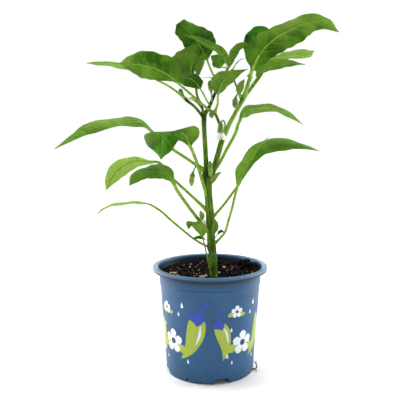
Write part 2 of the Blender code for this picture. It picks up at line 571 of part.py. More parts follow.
def main():
    clear_scene()
    axis = bpy.data.objects.new("pot_axis", None)
    bpy.context.collection.objects.link(axis)
    axis.location = (POT_AXIS_X * MM, POT_AXIS_Y * MM, 0)
    leaf_green = make_material("leaf_green", (0.085, 0.22, 0.02), 0.42)
    stem_green = make_material("stem_green", (0.13, 0.24, 0.05), 0.45)
    bud_green = make_material("bud_green", (0.12, 0.25, 0.04), 0.5)
    petal_white = make_material("petal_white", (0.86, 0.86, 0.74), 0.6)
    stamen_yellow = make_material("stamen_yellow", (0.55, 0.5, 0.25), 0.7)
    pot_blue = make_material("pot_blue", (0.10, 0.19, 0.38), 0.4)
    peat = make_material("peat", (0.025, 0.016, 0.011), 0.95)
    bark = make_material("bark", (0.36, 0.22, 0.11), 0.85)

    add_pot(pot_blue)
    add_soil(peat)
    for name, chip in CHIPS.items():
        add_chip(name, bark, *chip)
    add_tube("root_tip", ROOT, bark)
    grown = {}
    for name, (parent, points) in STEMS.items():
        add_stem(name, parent, points, stem_green, grown)
    for name, leaf in LEAVES.items():
        add_leaf(name, leaf_green, grown, **leaf)
    for name, (parent, points) in BUDS.items():
        add_bud(name, parent, points, bud_green, grown)
    add_flower(bud_green, petal_white, stamen_yellow, grown)


main()
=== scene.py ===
"""A young chilli pepper plant in its nursery pot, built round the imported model.

After the helpers, the sections follow the object as it is put together: the pot and its print, the growing
medium and what lies on it, the stems, the leaves, the buds and the flower. The floor, the light and the
camera come last.
"""
import math
import random

import bmesh
import bpy
from mathutils import Matrix, Vector, noise


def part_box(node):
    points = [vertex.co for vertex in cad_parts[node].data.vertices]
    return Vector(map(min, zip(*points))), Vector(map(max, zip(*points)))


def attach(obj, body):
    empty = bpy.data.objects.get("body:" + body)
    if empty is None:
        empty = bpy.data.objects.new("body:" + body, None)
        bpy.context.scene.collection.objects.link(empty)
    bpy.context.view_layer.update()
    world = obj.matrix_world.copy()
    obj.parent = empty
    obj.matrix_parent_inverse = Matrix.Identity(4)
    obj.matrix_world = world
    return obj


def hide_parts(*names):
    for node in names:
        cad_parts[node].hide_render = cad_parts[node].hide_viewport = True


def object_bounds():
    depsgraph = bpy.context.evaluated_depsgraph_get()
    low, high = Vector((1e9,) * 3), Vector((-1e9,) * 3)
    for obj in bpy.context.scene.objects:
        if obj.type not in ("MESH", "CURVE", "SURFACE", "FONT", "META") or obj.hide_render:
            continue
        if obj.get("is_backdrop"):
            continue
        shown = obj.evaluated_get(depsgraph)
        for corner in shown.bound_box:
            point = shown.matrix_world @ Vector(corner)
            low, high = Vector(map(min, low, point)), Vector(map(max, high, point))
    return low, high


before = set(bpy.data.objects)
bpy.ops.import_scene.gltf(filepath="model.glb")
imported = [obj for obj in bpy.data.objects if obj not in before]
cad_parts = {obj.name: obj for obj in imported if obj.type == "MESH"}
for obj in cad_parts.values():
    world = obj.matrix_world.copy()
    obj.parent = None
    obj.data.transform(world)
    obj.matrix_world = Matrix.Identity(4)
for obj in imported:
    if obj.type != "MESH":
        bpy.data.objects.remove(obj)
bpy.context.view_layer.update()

# ---- Measures and helpers --------------------------------------------------------------------------------
# Lengths are in millimetres, from the middle of the pot's foot, and place() puts a point in the frame.

MM = 0.001
pot_low, pot_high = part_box("pot")
POT_X, POT_Y = (pot_low.x + pot_high.x) / 2, (pot_low.y + pot_high.y) / 2


def place(x, y, z):
    """A point in millimetres from the middle of the pot's foot, in the frame's metres."""
    return Vector((POT_X + x * MM, POT_Y + y * MM, z * MM))


def pick(*pieces):
    """Selects these objects only, with the first one active."""
    bpy.ops.object.select_all(action="DESELECT")
    for piece in pieces:
        piece.select_set(True)
    bpy.context.view_layer.objects.active = pieces[0]


def join(*pieces):
    """Makes one piece of these, and gives back the first, which has taken the others in."""
    pick(*pieces)
    bpy.ops.object.join()
    return pieces[0]


def new_piece(name, data):
    """Puts a new piece with this data into the scene."""
    piece = bpy.data.objects.new(name, data)
    bpy.context.collection.objects.link(piece)
    return piece


def new_grid(along, across):
    """A flat sheet of so many faces, from -1 to 1 both ways, that is then shaped point by point."""
    bpy.ops.mesh.primitive_grid_add(x_subdivisions=along, y_subdivisions=across, size=2)
    return bpy.context.object


def weld(within):
    """Joins the active piece's points that lie within so many millimetres, and turns its faces outwards."""
    bpy.ops.object.mode_set(mode="EDIT")
    bpy.ops.mesh.select_all(action="SELECT")
    bpy.ops.mesh.remove_doubles(threshold=within * MM)
    bpy.ops.mesh.normals_make_consistent(inside=False)
    bpy.ops.object.mode_set(mode="OBJECT")


def apply_modifier(piece, kind, **settings):
    """Adds one modifier with its settings and applies it."""
    pick(piece)
    modifier = piece.modifiers.new(kind.lower(), kind)
    for setting, value in settings.items():
        setattr(modifier, setting, value)
    bpy.ops.object.modifier_apply(modifier=modifier.name)


def srgb(code):
    """A hex colour as the linear values that a shader takes."""
    values = [int(code[i:i + 2], 16) / 255 for i in (0, 2, 4)]
    return (*(v / 12.92 if v <= 0.04045 else ((v + 0.055) / 1.055) ** 2.4 for v in values), 1.0)


def fill_sockets(item, values):
    """Gives a node's sockets their values: numbers, colours, other sockets, or other nodes' first results."""
    for socket, value in values.items():
        if isinstance(value, bpy.types.Node):
            value = next(result for result in value.outputs if result.enabled)
        if isinstance(value, bpy.types.NodeSocket):
            item.id_data.links.new(value, item.inputs[socket])
        else:
            item.inputs[socket].default_value = value


def add_node(material, kind, values=None, **settings):
    """Adds one node of a kind, with its settings and its sockets' values."""
    item = material.node_tree.nodes.new("ShaderNode" + kind)
    for setting, value in settings.items():
        setattr(item, setting, value)
    fill_sockets(item, values or {})
    return item


def ramp(material, value, *stops):
    """Turns a value into a colour, by stops that each give a value and its hex colour."""
    item = add_node(material, "ValToRGB", {"Fac": value})
    for i, (at, colour) in enumerate(stops):
        stop = item.color_ramp.elements[i] if i < 2 else item.color_ramp.elements.new(at)
        stop.position, stop.color = at, srgb(colour)
    return item


def calculate(material, operation, *values):
    """Adds one step of arithmetic on numbers and other nodes' results."""
    return add_node(material, "Math", dict(enumerate(values)), operation=operation)


def rescale(material, value, before=(0.0, 1.0), after=(0.0, 1.0), **settings):
    """Carries a value over from one range to another, and holds it at the ends."""
    ranges = {"From Min": before[0], "From Max": before[1], "To Min": after[0], "To Max": after[1]}
    return add_node(material, "MapRange", {"Value": value, **ranges}, **settings)


def blend(material, share, one, other, **settings):
    """Mixes two colours, with this share of the second."""
    return add_node(material, "Mix", {0: share, 6: one, 7: other}, data_type="RGBA", **settings)


def place_in(material):
    """Where each point lies in its piece."""
    return add_node(material, "TexCoord").outputs["Object"]


def painted(material, name):
    """The number that the mesh carries at each point under this name."""
    return add_node(material, "Attribute", attribute_name=name).outputs["Fac"]


def grain(material, where, size, detail=2.0, **sockets):
    """A noise with lumps of about this many millimetres."""
    return add_node(material, "TexNoise",
                    {"Vector": where, "Scale": 1 / (size * MM), "Detail": detail, **sockets})


def relief(material, height, strength, depth):
    """Turns a height into relief of this many millimetres at the most."""
    return add_node(material, "Bump", {"Height": height, "Strength": strength, "Distance": depth * MM})


def new_material(name, **sockets):
    """A material whose one shader has these settings. The shader and the output are returned with it."""
    material = bpy.data.materials.new(name)
    material.use_nodes = True
    shader, output = material.node_tree.nodes["Principled BSDF"], material.node_tree.nodes["Material Output"]
    fill_sockets(shader, {socket.replace("_", " "): value for socket, value in sockets.items()})
    return material, shader, output


def tie(piece, name, nodes=(), smooth=40):
    """Names a finished piece, puts its place in its mesh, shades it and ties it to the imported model."""
    pick(piece)
    bpy.ops.object.transform_apply(location=True, rotation=True, scale=True)
    bpy.ops.object.shade_smooth_by_angle(angle=math.radians(smooth))
    piece.name = piece.data.name = name
    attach(piece, "root")
    if nodes:
        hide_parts(*nodes)
    return piece


# ---- Pot -------------------------------------------------------------------------------------------------
# A 13 cm nursery pot, thermoformed from recycled polypropylene. The thin wall tapers to a foot that is cut
# into castellations so that water runs away, a small step stops stacked pots jamming, and the lip is turned
# down.

RIM_R = (pot_high.x - pot_low.x) / 2 / MM
POT_HEIGHT = pot_high.z / MM
FOOT_R, WALL_TOP_R, WALL_TOP_Z = 49.8, 57.9, 115.8
WALL, STEP_Z, STEP_OUT = 1.1, 99.0, 0.5
POT_SIDES = 192


def wall_r(z):
    """The pot's outer radius at a height."""
    taper = FOOT_R + (WALL_TOP_R - STEP_OUT - FOOT_R) * z / WALL_TOP_Z
    return taper + (STEP_OUT if z > STEP_Z else 0.0)


def next_ring(radius, height, at):
    """Extrudes the selected ring to a new radius and height, and gives back where it now is."""
    bpy.ops.mesh.extrude_region_move(TRANSFORM_OT_translate={"value": (0, 0, (height - at[1]) * MM)})
    share = radius / at[0]
    bpy.ops.transform.resize(value=(share, share, 1), center_override=(POT_X, POT_Y, 0))
    return radius, height


GROOVE = 0.25  # mm deep, a faint ring below the lip
FLOOR_START = (10, 6.6)
POT_RINGS = (  # out under the floor, down and round the foot, up the wall, over the lip and down the inside
    (40, 6.6), (47.4, 6.6), (48.3, 6.0), (48.3, 0.3), (48.6, 0.0), (49.4, 0.0), (49.7, 0.3), (wall_r(2), 2),
    (wall_r(25), 25), (wall_r(50), 50), (wall_r(75), 75), (wall_r(98.6), 98.6), (wall_r(99.0) + 0.3, 98.9),
    (wall_r(99.4), 99.5), (wall_r(103.4), 103.4), (wall_r(103.8) - GROOVE, 103.8),
    (wall_r(104.6) - GROOVE, 104.6), *((wall_r(z), z) for z in (105, 108, 111, 112.4, 113.1, 114.2, 115.5)),
    (57.9, 116.8), (58.6, 117.3), (63.2, 117.3), (63.7, 116.9), (63.8, 116.0), (64.1, 115.7), (64.6, 115.8),
    (64.8, 116.2), (64.6, 117.0), (64.7, 117.6), (RIM_R, 118.3), (64.9, 119.1), (64.4, 119.7),
    (63.6, POT_HEIGHT), (60.2, POT_HEIGHT), (59.3, 119.8), (58.6, 119.3), (58.3, 118.6), (57.8, 115.0),
    *((wall_r(z) - WALL, z) for z in (105, 98, 60, 20)), (48.9, 9.6), (48.2, 8.2), (47.0, 7.7), (10, 7.7))
at = FLOOR_START
bpy.ops.object.select_all(action="DESELECT")
bpy.ops.mesh.primitive_circle_add(vertices=POT_SIDES, radius=at[0] * MM, location=place(0, 0, at[1]))
pot = bpy.context.object
bpy.ops.object.mode_set(mode="EDIT")
for radius, height in POT_RINGS:
    at = next_ring(radius, height, at)
bpy.ops.mesh.select_all(action="SELECT")
bpy.ops.mesh.fill_holes(sides=0)
bpy.ops.mesh.normals_make_consistent(inside=False)
bpy.ops.object.mode_set(mode="OBJECT")

NOTCH_ANGLES = (15, 105, 195, 285)
NOTCH = dict(bottom=21.5, top=13.0, height=5.8, corner=1.5)  # mm
NICKS = ((27, 2.4), (45, 4.2), (63, 2.4))  # angle from the notch before, and height
NICK = dict(bottom=5.2, top=2.0, corner=0.6)
DRAIN_ANGLES, DRAIN_RING, DRAIN_R = (15, 75, 135, 195, 255, 315), 36, 4
TOUCH = 1e-6  # m, below which two places are the same


def foot_opening(angle, bottom, top, height, corner):
    """A block through the foot's wall that narrows upwards, with its top corners rounded."""
    bpy.ops.mesh.primitive_cube_add(size=1, location=(FOOT_R * MM, 0, (height - 1) / 2 * MM),
                                    scale=(8 * MM, bottom * MM, (height + 1) * MM))
    block = bpy.context.object
    bpy.ops.object.transform_apply(location=True, rotation=True, scale=True)
    bpy.ops.object.mode_set(mode="EDIT")
    bpy.ops.mesh.select_all(action="DESELECT")
    mesh = bmesh.from_edit_mesh(block.data)
    upper = max(vert.co.z for vert in mesh.verts) - TOUCH
    for vert in mesh.verts:
        if vert.co.z > upper:
            vert.co.y *= top / bottom
    for edge in mesh.edges:
        one, other = (vert.co for vert in edge.verts)
        edge.select = min(one.z, other.z) > upper and abs(one.y - other.y) < TOUCH
    mesh.select_flush(True)
    bmesh.update_edit_mesh(block.data)
    bpy.ops.mesh.bevel(offset=corner * MM, segments=3, affect="EDGES")
    bpy.ops.object.mode_set(mode="OBJECT")
    block.data.transform(Matrix.Translation(place(0, 0, 0)) @ Matrix.Rotation(math.radians(angle), 4, "Z"))
    return block


cutters = []
for angle in NOTCH_ANGLES:
    cutters.append(foot_opening(angle, **NOTCH))
    cutters += [foot_opening(angle + offset, height=height, **NICK) for offset, height in NICKS]
for angle in map(math.radians, DRAIN_ANGLES):
    middle = place(DRAIN_RING * math.cos(angle), DRAIN_RING * math.sin(angle), 7)
    bpy.ops.mesh.primitive_cylinder_add(vertices=32, radius=DRAIN_R * MM, depth=6 * MM, location=middle)
    cutters.append(bpy.context.object)
cutter = join(*cutters)
apply_modifier(pot, "BOOLEAN", operation="DIFFERENCE", solver="EXACT", object=cutter)
bpy.data.objects.remove(cutter)

# Recycled polypropylene off a matt tool: a deep satin blue with a low orange-peel bump that softens every
# highlight, faint cloudy tone from the regrind, and a little splashed peat dust near the foot. Painted shade
# darkens its inside, the crease under the lip and the lip's lower edge, and a painted highlight makes the
# lip's top paler, most at both sides.
plastic, shader, _ = new_material("moulded_polypropylene", IOR=1.49, Specular_IOR_Level=0.35)
where = place_in(plastic)
CLOUD, PEEL, DUST = 40, 0.8, 9  # mm
cloud = grain(plastic, where, CLOUD, 3.0)
blue = ramp(plastic, cloud, (0.3, "1C4A72"), (0.7, "265A86"))
height = add_node(plastic, "SeparateXYZ", {0: where})
low = rescale(plastic, height.outputs["Z"], (0.0, 22 * MM), (0.55, 0.0))
speck = grain(plastic, where, DUST, 6.0, Roughness=0.7)
speckled = rescale(plastic, speck, (0.5, 0.72))
dusty = calculate(plastic, "MULTIPLY", low, speckled)
soiled = blend(plastic, dusty, blue, srgb("5A6468"))
peel = grain(plastic, where, PEEL, 1.0)
gloss = rescale(plastic, cloud, (0.3, 0.7), (0.4, 0.5))
bump = relief(plastic, peel, 0.25, 0.05)
# Painted shade: the mesh's shade values mix in a near-black blue on the inside and under the lip.
darkened = blend(plastic, painted(plastic, "painted_shade"), soiled, srgb("0F1820"))
# Painted highlight: the lip's top is mixed towards a pale grey-blue, most at its left and right ends.
lay_and_highlight = calculate(plastic, "MULTIPLY", painted(plastic, "painted_highlight"), cloud)
lay_and_highlight = blend(plastic, lay_and_highlight, darkened, srgb("B9CAD2"))
fill_sockets(shader, {"Base Color": lay_and_highlight, "Roughness": gloss, "Normal": bump})
pot.data.materials.append(plastic)
tie(pot, "pot_shell", ["pot"], smooth=28)
FLOOR_Z, CREASE_Z, LIP_Z, LIP_INNER_R, LIP_OUTER_R = 6.8, 113.1, 117.4, 58.8, 64
# Painted shade darkens the pot's inside, the crease under the lip (more upwards) and the lip's lower edge.
painted_shade_layer = pot.data.attributes.new("painted_shade", "FLOAT", "POINT")
painted_highlight = pot.data.attributes.new("painted_highlight", "FLOAT", "POINT")
for vert, dark, pale in zip(pot.data.vertices, painted_shade_layer.data, painted_highlight.data):
    spot = (vert.co - place(0, 0, 0)) / MM
    reach = spot.to_2d().length
    if reach < wall_r(spot.z) - 0.6 and FLOOR_Z < spot.z < 119:  # the inside
        dark.value = 0.92
    elif reach < LIP_OUTER_R:  # the crease, which darkens upwards
        dark.value = min(0.93, math.exp((spot.z - CREASE_Z) / 2.4)) if spot.z < LIP_Z else 0.0
    else:  # the lip's lower edge
        dark.value = max(0.0, min(0.85, 0.85 * (118 - spot.z) / 1.9))
    # Painted highlight on the lip's top, strongest at its left and right ends.
    if spot.z > LIP_Z and reach > LIP_INNER_R:
        pale.value = min(1.0, (spot.z - LIP_Z) / 1.4) * (0.2 + 0.8 * (spot.x / reach) ** 4)

# ---- Print on the pot ------------------------------------------------------------------------------------
# A screen-printed band that repeats four times round the wall: a pair of lime chilli pods under royal-blue
# caps, then a white blossom with lime leaves and a few white drops. Each ink is a thin film on the plastic.

INK = 0.05  # mm, and the drawing below is in mm along and up the wall


def ink_material(name, code):
    """Solvent ink on plastic: opaque and satin, with a slightly uneven lay that breaks the highlight."""
    material, shader, _ = new_material(name, Roughness=0.5, IOR=1.5)
    lay = grain(material, place_in(material), 3)
    lay_and_highlight = rescale(material, lay, after=(0.82, 1.06))
    tinted = blend(material, 1.0, srgb(code), lay_and_highlight, blend_type="MULTIPLY")
    fill_sockets(shader, {"Base Color": tinted})
    return material


INKS = {"lime": ink_material("lime_ink", "A6BB3A"), "royal": ink_material("royal_blue_ink", "2440B0"),
        "white": ink_material("white_ink", "E6EEF5"), "navy": ink_material("navy_ink", "2B2C66")}


def curve_at(a, b, c, d, t):
    """What a smooth curve through four evenly spaced values or points gives between the middle two."""
    return 0.5 * (2 * b + (c - a) * t + (2 * a - 5 * b + 4 * c - d) * t * t
                  + (3 * b - a - 3 * c + d) * t ** 3)


def curve_through(points, steps):
    """Points along a smooth curve through all of these, with any radius after x, y, z carried along."""
    knots = [Vector(point) for point in points]
    knots = [2 * knots[0] - knots[1], *knots, 2 * knots[-1] - knots[-2]]
    route = [curve_at(*four, i / steps) for four in zip(knots, knots[1:], knots[2:], knots[3:])
             for i in range(steps)]
    return [*route, knots[-2]]


def ink_stroke(ink, layer, points, widths, across=4):
    """One printed shape: a flat strip of ink along a curve, with a half width at each of its points."""
    route = curve_through([(*point, width) for point, width in zip(points, widths)], 5)
    strip = new_grid(len(route) - 1, across)
    for vert in strip.data.vertices:
        i = round((vert.co.x + 1) / 2 * (len(route) - 1))
        ahead = (route[min(i + 1, len(route) - 1)] - route[max(i - 1, 0)]).to_2d().normalized()
        half = max(route[i].z, 0.02) * vert.co.y
        vert.co = (route[i].x - ahead.y * half, route[i].y + ahead.x * half, 0.1 + layer * INK * 1.5)
    apply_modifier(strip, "SOLIDIFY", thickness=INK, offset=-1)
    strip.data.materials.append(INKS[ink])
    return strip


def ink_pod(x, y, turn, length):
    """A chilli pod hanging from its cap: the pod, its highlight, the cap and the stalk."""
    def at(along, side):
        c, s = math.cos(turn), math.sin(turn)
        return x + length * (along * s + side * c), y - length * (along * c - side * s)
    pod = [at(0.02, 0), at(0.12, 0.01), at(0.35, 0.03), at(0.62, 0.01), at(0.84, -0.06), at(1.0, -0.16)]
    shine = [at(0.16, 0.09), at(0.34, 0.12), at(0.58, 0.1)]
    cap = [at(-0.09, 0), at(-0.04, 0), at(0.04, 0.0), at(0.13, 0.02), at(0.2, 0.02)]
    stalk = [at(-0.34, 0.12), at(-0.24, 0.05), at(-0.15, 0.01), at(-0.07, 0)]
    return [ink_stroke("lime", 0, pod, [w * length for w in (0.1, 0.17, 0.19, 0.14, 0.07, 0.0)]),
            ink_stroke("white", 1, shine, [w * length for w in (0.006, 0.028, 0.006)], 2),
            ink_stroke("royal", 1, cap, [w * length for w in (0.03, 0.12, 0.17, 0.08, 0.0)]),
            ink_stroke("royal", 1, stalk, [w * length for w in (0.045, 0.03, 0.028, 0.04)], 2)]


def ink_blossom(x, y, reach):
    """A five-petalled blossom with a navy eye and two lime leaves."""
    strokes = []
    for turn in (0.35, 2.55):
        tip = (x + 1.75 * reach * math.cos(turn), y - 1.3 * reach * math.sin(turn))
        bend = (x + 1.2 * reach * math.cos(turn + 0.2), y - 1.0 * reach * math.sin(turn + 0.2))
        strokes.append(ink_stroke("lime", 0, [(x, y), bend, tip], [0.1 * reach, 0.34 * reach, 0.0]))
    for k in range(5):
        c, s = math.cos(math.tau * k / 5 + 0.3), math.sin(math.tau * k / 5 + 0.3)
        petal = [(x + reach * share * c, y + reach * share * s) for share in (0.1, 0.35, 0.7, 0.92, 1.0)]
        strokes.append(ink_stroke("white", 1, petal, [reach * w for w in (0.1, 0.24, 0.36, 0.2, 0.04)]))
    eye = [(x - 0.27 * reach, y), (x - 0.2 * reach, y), (x, y), (x + 0.2 * reach, y), (x + 0.27 * reach, y)]
    strokes.append(ink_stroke("navy", 2, eye, [0.0, 0.17 * reach, 0.25 * reach, 0.17 * reach, 0.0], 6))
    return strokes


BAND_REPEATS, BAND_START = 4, math.radians(-94)
DROPS = ((-27, 86, 1.9), (-32, 76, 1.4), (23, 31, 1.7), (29, 23, 1.3), (-22, 24, 1.6), (27, 60, 1.4))
flat = ink_pod(-9, 76, -0.26, 54) + ink_pod(13, 69, 0.28, 42)
flat += ink_blossom(-42, 44, 13.5) + ink_blossom(33, 80, 7)
for x, y, size in DROPS:
    flat.append(ink_stroke("white", 0, [(x, y + 2.2 * size), (x, y), (x, y - size), (x, y - 1.3 * size)],
                           [0.0, 0.75 * size, 0.7 * size, 0.0]))
band = join(*flat)
for k in range(BAND_REPEATS):
    printed = new_piece("print", band.data.copy())
    for vert in printed.data.vertices:
        along, up, off = vert.co
        turn = BAND_START + math.tau * k / BAND_REPEATS + along / wall_r(60)
        radius = wall_r(up) + off
        vert.co = place(radius * math.cos(turn), radius * math.sin(turn), up)
    tie(printed, f"pot_print_{k + 1}")
bpy.data.objects.remove(band)

# ---- Growing medium --------------------------------------------------------------------------------------
# Loose peat compost, heaped against the wall at the back right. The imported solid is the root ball, and on it
# lies a skin of crumbs, clods, fibres and white perlite grains, as watering leaves them.

SOIL_LEVEL, FOOT_LEVEL = 110.6, 110.0
STEM_FOOT = Vector((4.0, -14.0))
HEAPS = ((43, 20, 11, 8.0), (26, 40, 13, 3.0), (-30, 34, 15, 1.6), (14, -40, 12, -1.2))  # x, y, reach, height


def soil_z(x, y):
    """The height of the root ball's top."""
    lumps = 0.7 * math.sin(x / 4.1 + 1) * math.cos(y / 4.7) + 0.5 * math.sin((x + y) / 6.3)
    heaps = sum(h * math.exp(-((x - hx) ** 2 + (y - hy) ** 2) / reach ** 2) for hx, hy, reach, h in HEAPS)
    away = (Vector((x, y)) - STEM_FOOT).length
    rough = min(1.0, max(0.0, (away - 12) / 10))
    return FOOT_LEVEL + rough * (SOIL_LEVEL - FOOT_LEVEL + lumps + heaps)


# Sphagnum peat, moist: nearly black brown, matt, with redder dry crumbs and no shine.
peat, shader, _ = new_material("moist_peat", Roughness=0.95, IOR=1.4, Specular_IOR_Level=0.15)
where = place_in(peat)
CRUMB, CLOD = 1.1, 7  # mm
crumbs, clods = grain(peat, where, CRUMB, 4.0), grain(peat, where, CLOD, 3.0)
tone = calculate(peat, "MULTIPLY", crumbs, clods)
brown = ramp(peat, tone, (0.12, "030201"), (0.4, "2C1C11"), (0.27, "0D0805"))
fill_sockets(shader, {"Base Color": brown, "Normal": relief(peat, crumbs, 0.7, 0.5)})
root_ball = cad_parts["growing_medium"]
root_ball.material_slots[0].material = peat

TOP_R = wall_r(SOIL_LEVEL) - WALL - 0.4
skin = new_grid(88, 88)
for vert in skin.data.vertices:
    u, v = vert.co.x, vert.co.y
    x, y = TOP_R * u * math.sqrt(1 - v * v / 2), TOP_R * v * math.sqrt(1 - u * u / 2)
    spot = Vector((x, y, 0))
    crumble = noise.fractal(spot / 3.2, 0.8, 2.0, 4) + 0.6 * (0.5 - noise.voronoi(spot / 4.5)[0][0])
    vert.co = place(x, y, soil_z(x, y) + 0.5 + 0.9 * crumble)
skin.data.materials.append(peat)
apply_modifier(skin, "SOLIDIFY", thickness=2.5 * MM, offset=-1)
tie(skin, "peat_skin", smooth=70)

dice = random.Random(11)
HEAPED_WITHIN = 52  # mm from the pot's middle


def scatter(name, material, count, sizes, subdivisions, squash, sink, spots=()):
    """Crumbs strewn over the growing medium: lumps of a few faces, each squashed and turned its own way. The
    first lie at the spots of x, y and size that are given, and the others fall anywhere but at the stem."""
    lumps = bmesh.new()
    for i in range(count + len(spots)):
        if i < len(spots):
            x, y, size = spots[i]
        else:
            reach, turn = (TOP_R - 2) * math.sqrt(dice.random()), dice.uniform(0, math.tau)
            x, y, size = reach * math.cos(turn), reach * math.sin(turn), dice.uniform(*sizes)
            if (Vector((x, y)) - STEM_FOOT).length < 5.5:
                continue
        turn = dice.uniform(0, math.tau)
        turned = Matrix.Rotation(turn, 4, Vector([dice.uniform(-1, 1) for _ in range(3)]))
        shape = Matrix.Diagonal((size * MM, size * dice.uniform(0.6, 0.9) * MM, size * squash * MM, 1))
        grown = bmesh.ops.create_icosphere(lumps, subdivisions=subdivisions, radius=1.0)
        shift = dice.uniform(0, 50)
        for vert in grown["verts"]:
            vert.co *= 1 + 0.55 * noise.noise(vert.co * 1.3 + Vector((shift, 0, 0)))
        bmesh.ops.transform(lumps, matrix=Matrix.Translation(place(x, y, soil_z(x, y) + 0.9 + size * sink))
                            @ turned @ shape, verts=grown["verts"])
    mesh = bpy.data.meshes.new(name)
    lumps.to_mesh(mesh)
    lumps.free()
    mesh.materials.append(material)
    return tie(new_piece(name, mesh), name, smooth=50)


heaped = [(43 + dice.gauss(0, 6), 18 + dice.gauss(0, 7), dice.uniform(1.8, 3.6)) for _ in range(34)]
heaped = [clod for clod in heaped if clod[0] ** 2 + clod[1] ** 2 < HEAPED_WITHIN ** 2]
scatter("peat_clods", peat, count=150, sizes=(1.2, 2.6), subdivisions=2, squash=0.75, sink=0.2,
        spots=heaped)
scatter("peat_crumbs", peat, count=620, sizes=(0.5, 1.3), subdivisions=1, squash=0.8, sink=0.4)

# Perlite: volcanic glass puffed by heat, chalky white with a fine froth of pits.
perlite, shader, _ = new_material("puffed_perlite", Roughness=0.85, IOR=1.5)
pits = add_node(perlite, "TexVoronoi", {"Vector": place_in(perlite), "Scale": 1 / (0.5 * MM)})
chalk = ramp(perlite, pits, (0.0, "F2EEE2"), (1.0, "A89C86"))
fill_sockets(shader, {"Base Color": chalk, "Normal": relief(perlite, pits, 0.5, 0.2)})
GRAINS = ((-17, -22, 1.0), (-30, -30, 1.1), (14, -38, 1.2), (36, -33, 1.1), (43, -22, 1.3), (22, -24, 0.8))
scatter("perlite_grains", perlite, count=46, sizes=(0.4, 0.95), subdivisions=2, squash=0.85, sink=0.5,
        spots=GRAINS)


def mottled_material(name, size, detail, stops, depth=0.0, strength=0.0, distortion=0.0, **sockets):
    """A material whose colour wanders with a noise of this size in mm, and any relief with it."""
    material, shader, _ = new_material(name, **sockets)
    mottle = grain(material, place_in(material), size, detail, Distortion=distortion)
    fill_sockets(shader, {"Base Color": ramp(material, mottle, *stops)})
    if depth:
        fill_sockets(shader, {"Normal": relief(material, mottle, strength, depth)})
    return material


# Composted bark: fibrous tan flakes and two bigger chips, dry enough to look pale on the dark peat.
bark = mottled_material("composted_bark", 1.6, 5.0, ((0.3, "6B4A2C"), (0.7, "CDAF83"), (0.5, "A27F55")),
                        depth=0.3, strength=0.6, distortion=1.5, Roughness=0.85, IOR=1.45)
FLAKES = ((-34, -24, 2.6), (48, -2, 1.8), (17, 20, 2.0), (-46, -14, 1.8))
scatter("bark_flakes", bark, count=60, sizes=(0.6, 1.5), subdivisions=1, squash=0.3, sink=0.5,
        spots=FLAKES)

CHIPS = (("bark_chip_stem", (8.6, 5.4, 2.6), 0.35), ("bark_chip_left", (9.4, 5.4, 2.4), -0.44))  # size, turn
for node, size, turn in CHIPS:
    low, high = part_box(node)
    middle = (low + high) / 2
    bpy.ops.mesh.primitive_cube_add(size=1, location=middle, rotation=(0.12, -0.1, turn),
                                    scale=[length * MM for length in size])
    chip = bpy.context.object
    bpy.ops.object.transform_apply(location=True, rotation=True, scale=True)
    apply_modifier(chip, "BEVEL", width=0.9 * MM, segments=3)
    apply_modifier(chip, "SUBSURF", levels=2, render_levels=2)
    for vert in chip.data.vertices:
        spot = vert.co / (2.6 * MM)
        vert.co += (vert.co - middle) * 0.35 * noise.fractal(spot, 0.9, 2.0, 3)
    chip.data.materials.append(bark)
    tie(chip, node + "_flake", [node], smooth=60)

# ---- Root tip --------------------------------------------------------------------------------------------
# One root has found its way out of a drain hole and a nick in the foot, and curls back to the wall. It is a
# thin brown thread that forks into two finer ends.

ROOT = ((35.5, 9.4, 7.6, 0.7), (38.8, 7.6, 4.0, 0.8), (42.6, 0.6, 1.7, 0.8), (45.2, -8.6, 1.2, 0.8),
        (48.0, -10.2, 1.2, 0.8), (51.0, -12.0, 1.4, 0.85), (53.0, -12.9, 3.6, 0.85), (53.0, -12.6, 6.4, 0.8),
        (51.5, -12.0, 9.2, 0.7), (50.2, -11.8, 10.4, 0.5))
ROOTLETS = (((51.5, -12.2, 1.5, 0.5), (52.8, -15.0, 0.8, 0.35), (52.2, -18.4, 0.6, 0.2)),
            ((52.6, -12.4, 7.6, 0.4), (52.9, -12.0, 9.6, 0.3), (52.4, -11.2, 11.6, 0.2)))


def tube(points, steps=8, sides=12, ridges=0, depth=0.0):
    """A closed tube along a smooth curve through points of x, y, z and radius, with any ridges along it."""
    outline = bpy.data.curves.new("outline", "CURVE")
    ring = outline.splines.new("POLY")
    ring.points.add(sides - 1)
    ring.use_cyclic_u = True
    for i, point in enumerate(ring.points):
        turn = math.tau * i / sides
        reach = MM * (1 + depth * math.cos(ridges * turn))
        point.co = (reach * math.cos(turn), reach * math.sin(turn), 0, 1)
    outline_holder = bpy.data.objects.new("outline", outline)
    route = curve_through(points, steps)
    path = bpy.data.curves.new("path", "CURVE")
    path.dimensions, path.twist_mode, path.use_fill_caps = "3D", "MINIMUM", True
    path.bevel_mode, path.bevel_object = "OBJECT", outline_holder
    line = path.splines.new("POLY")
    line.points.add(len(route) - 1)
    for knot, point in zip(line.points, route):
        knot.co, knot.radius = (*place(*point[:3]), 1), max(point[3], 0.05)
    pick(new_piece("tube", path))
    bpy.ops.object.convert(target="MESH")
    bpy.data.objects.remove(outline_holder)
    piece = bpy.context.object
    weld(0.002)
    return piece


# A living root: cream-brown bark cells, matt, a little rough to the touch.
root_skin = mottled_material("root_skin", 2, 4.0, ((0.3, "7A4F2C"), (0.7, "C49C68")), Roughness=0.8, IOR=1.4)
threads = [tube(ROOT, ridges=4, depth=0.08), *(tube(points) for points in ROOTLETS)]
root = join(*threads)
root.data.materials.append(root_skin)
tie(root, "root_thread", ["root_tip"])

# ---- Stems -----------------------------------------------------------------------------------------------
# The main stem, its fork and the twigs are one living skin. They are ridged lengthwise, swell at each node,
# and the nodes carry the dark collars that this kind of plant has.

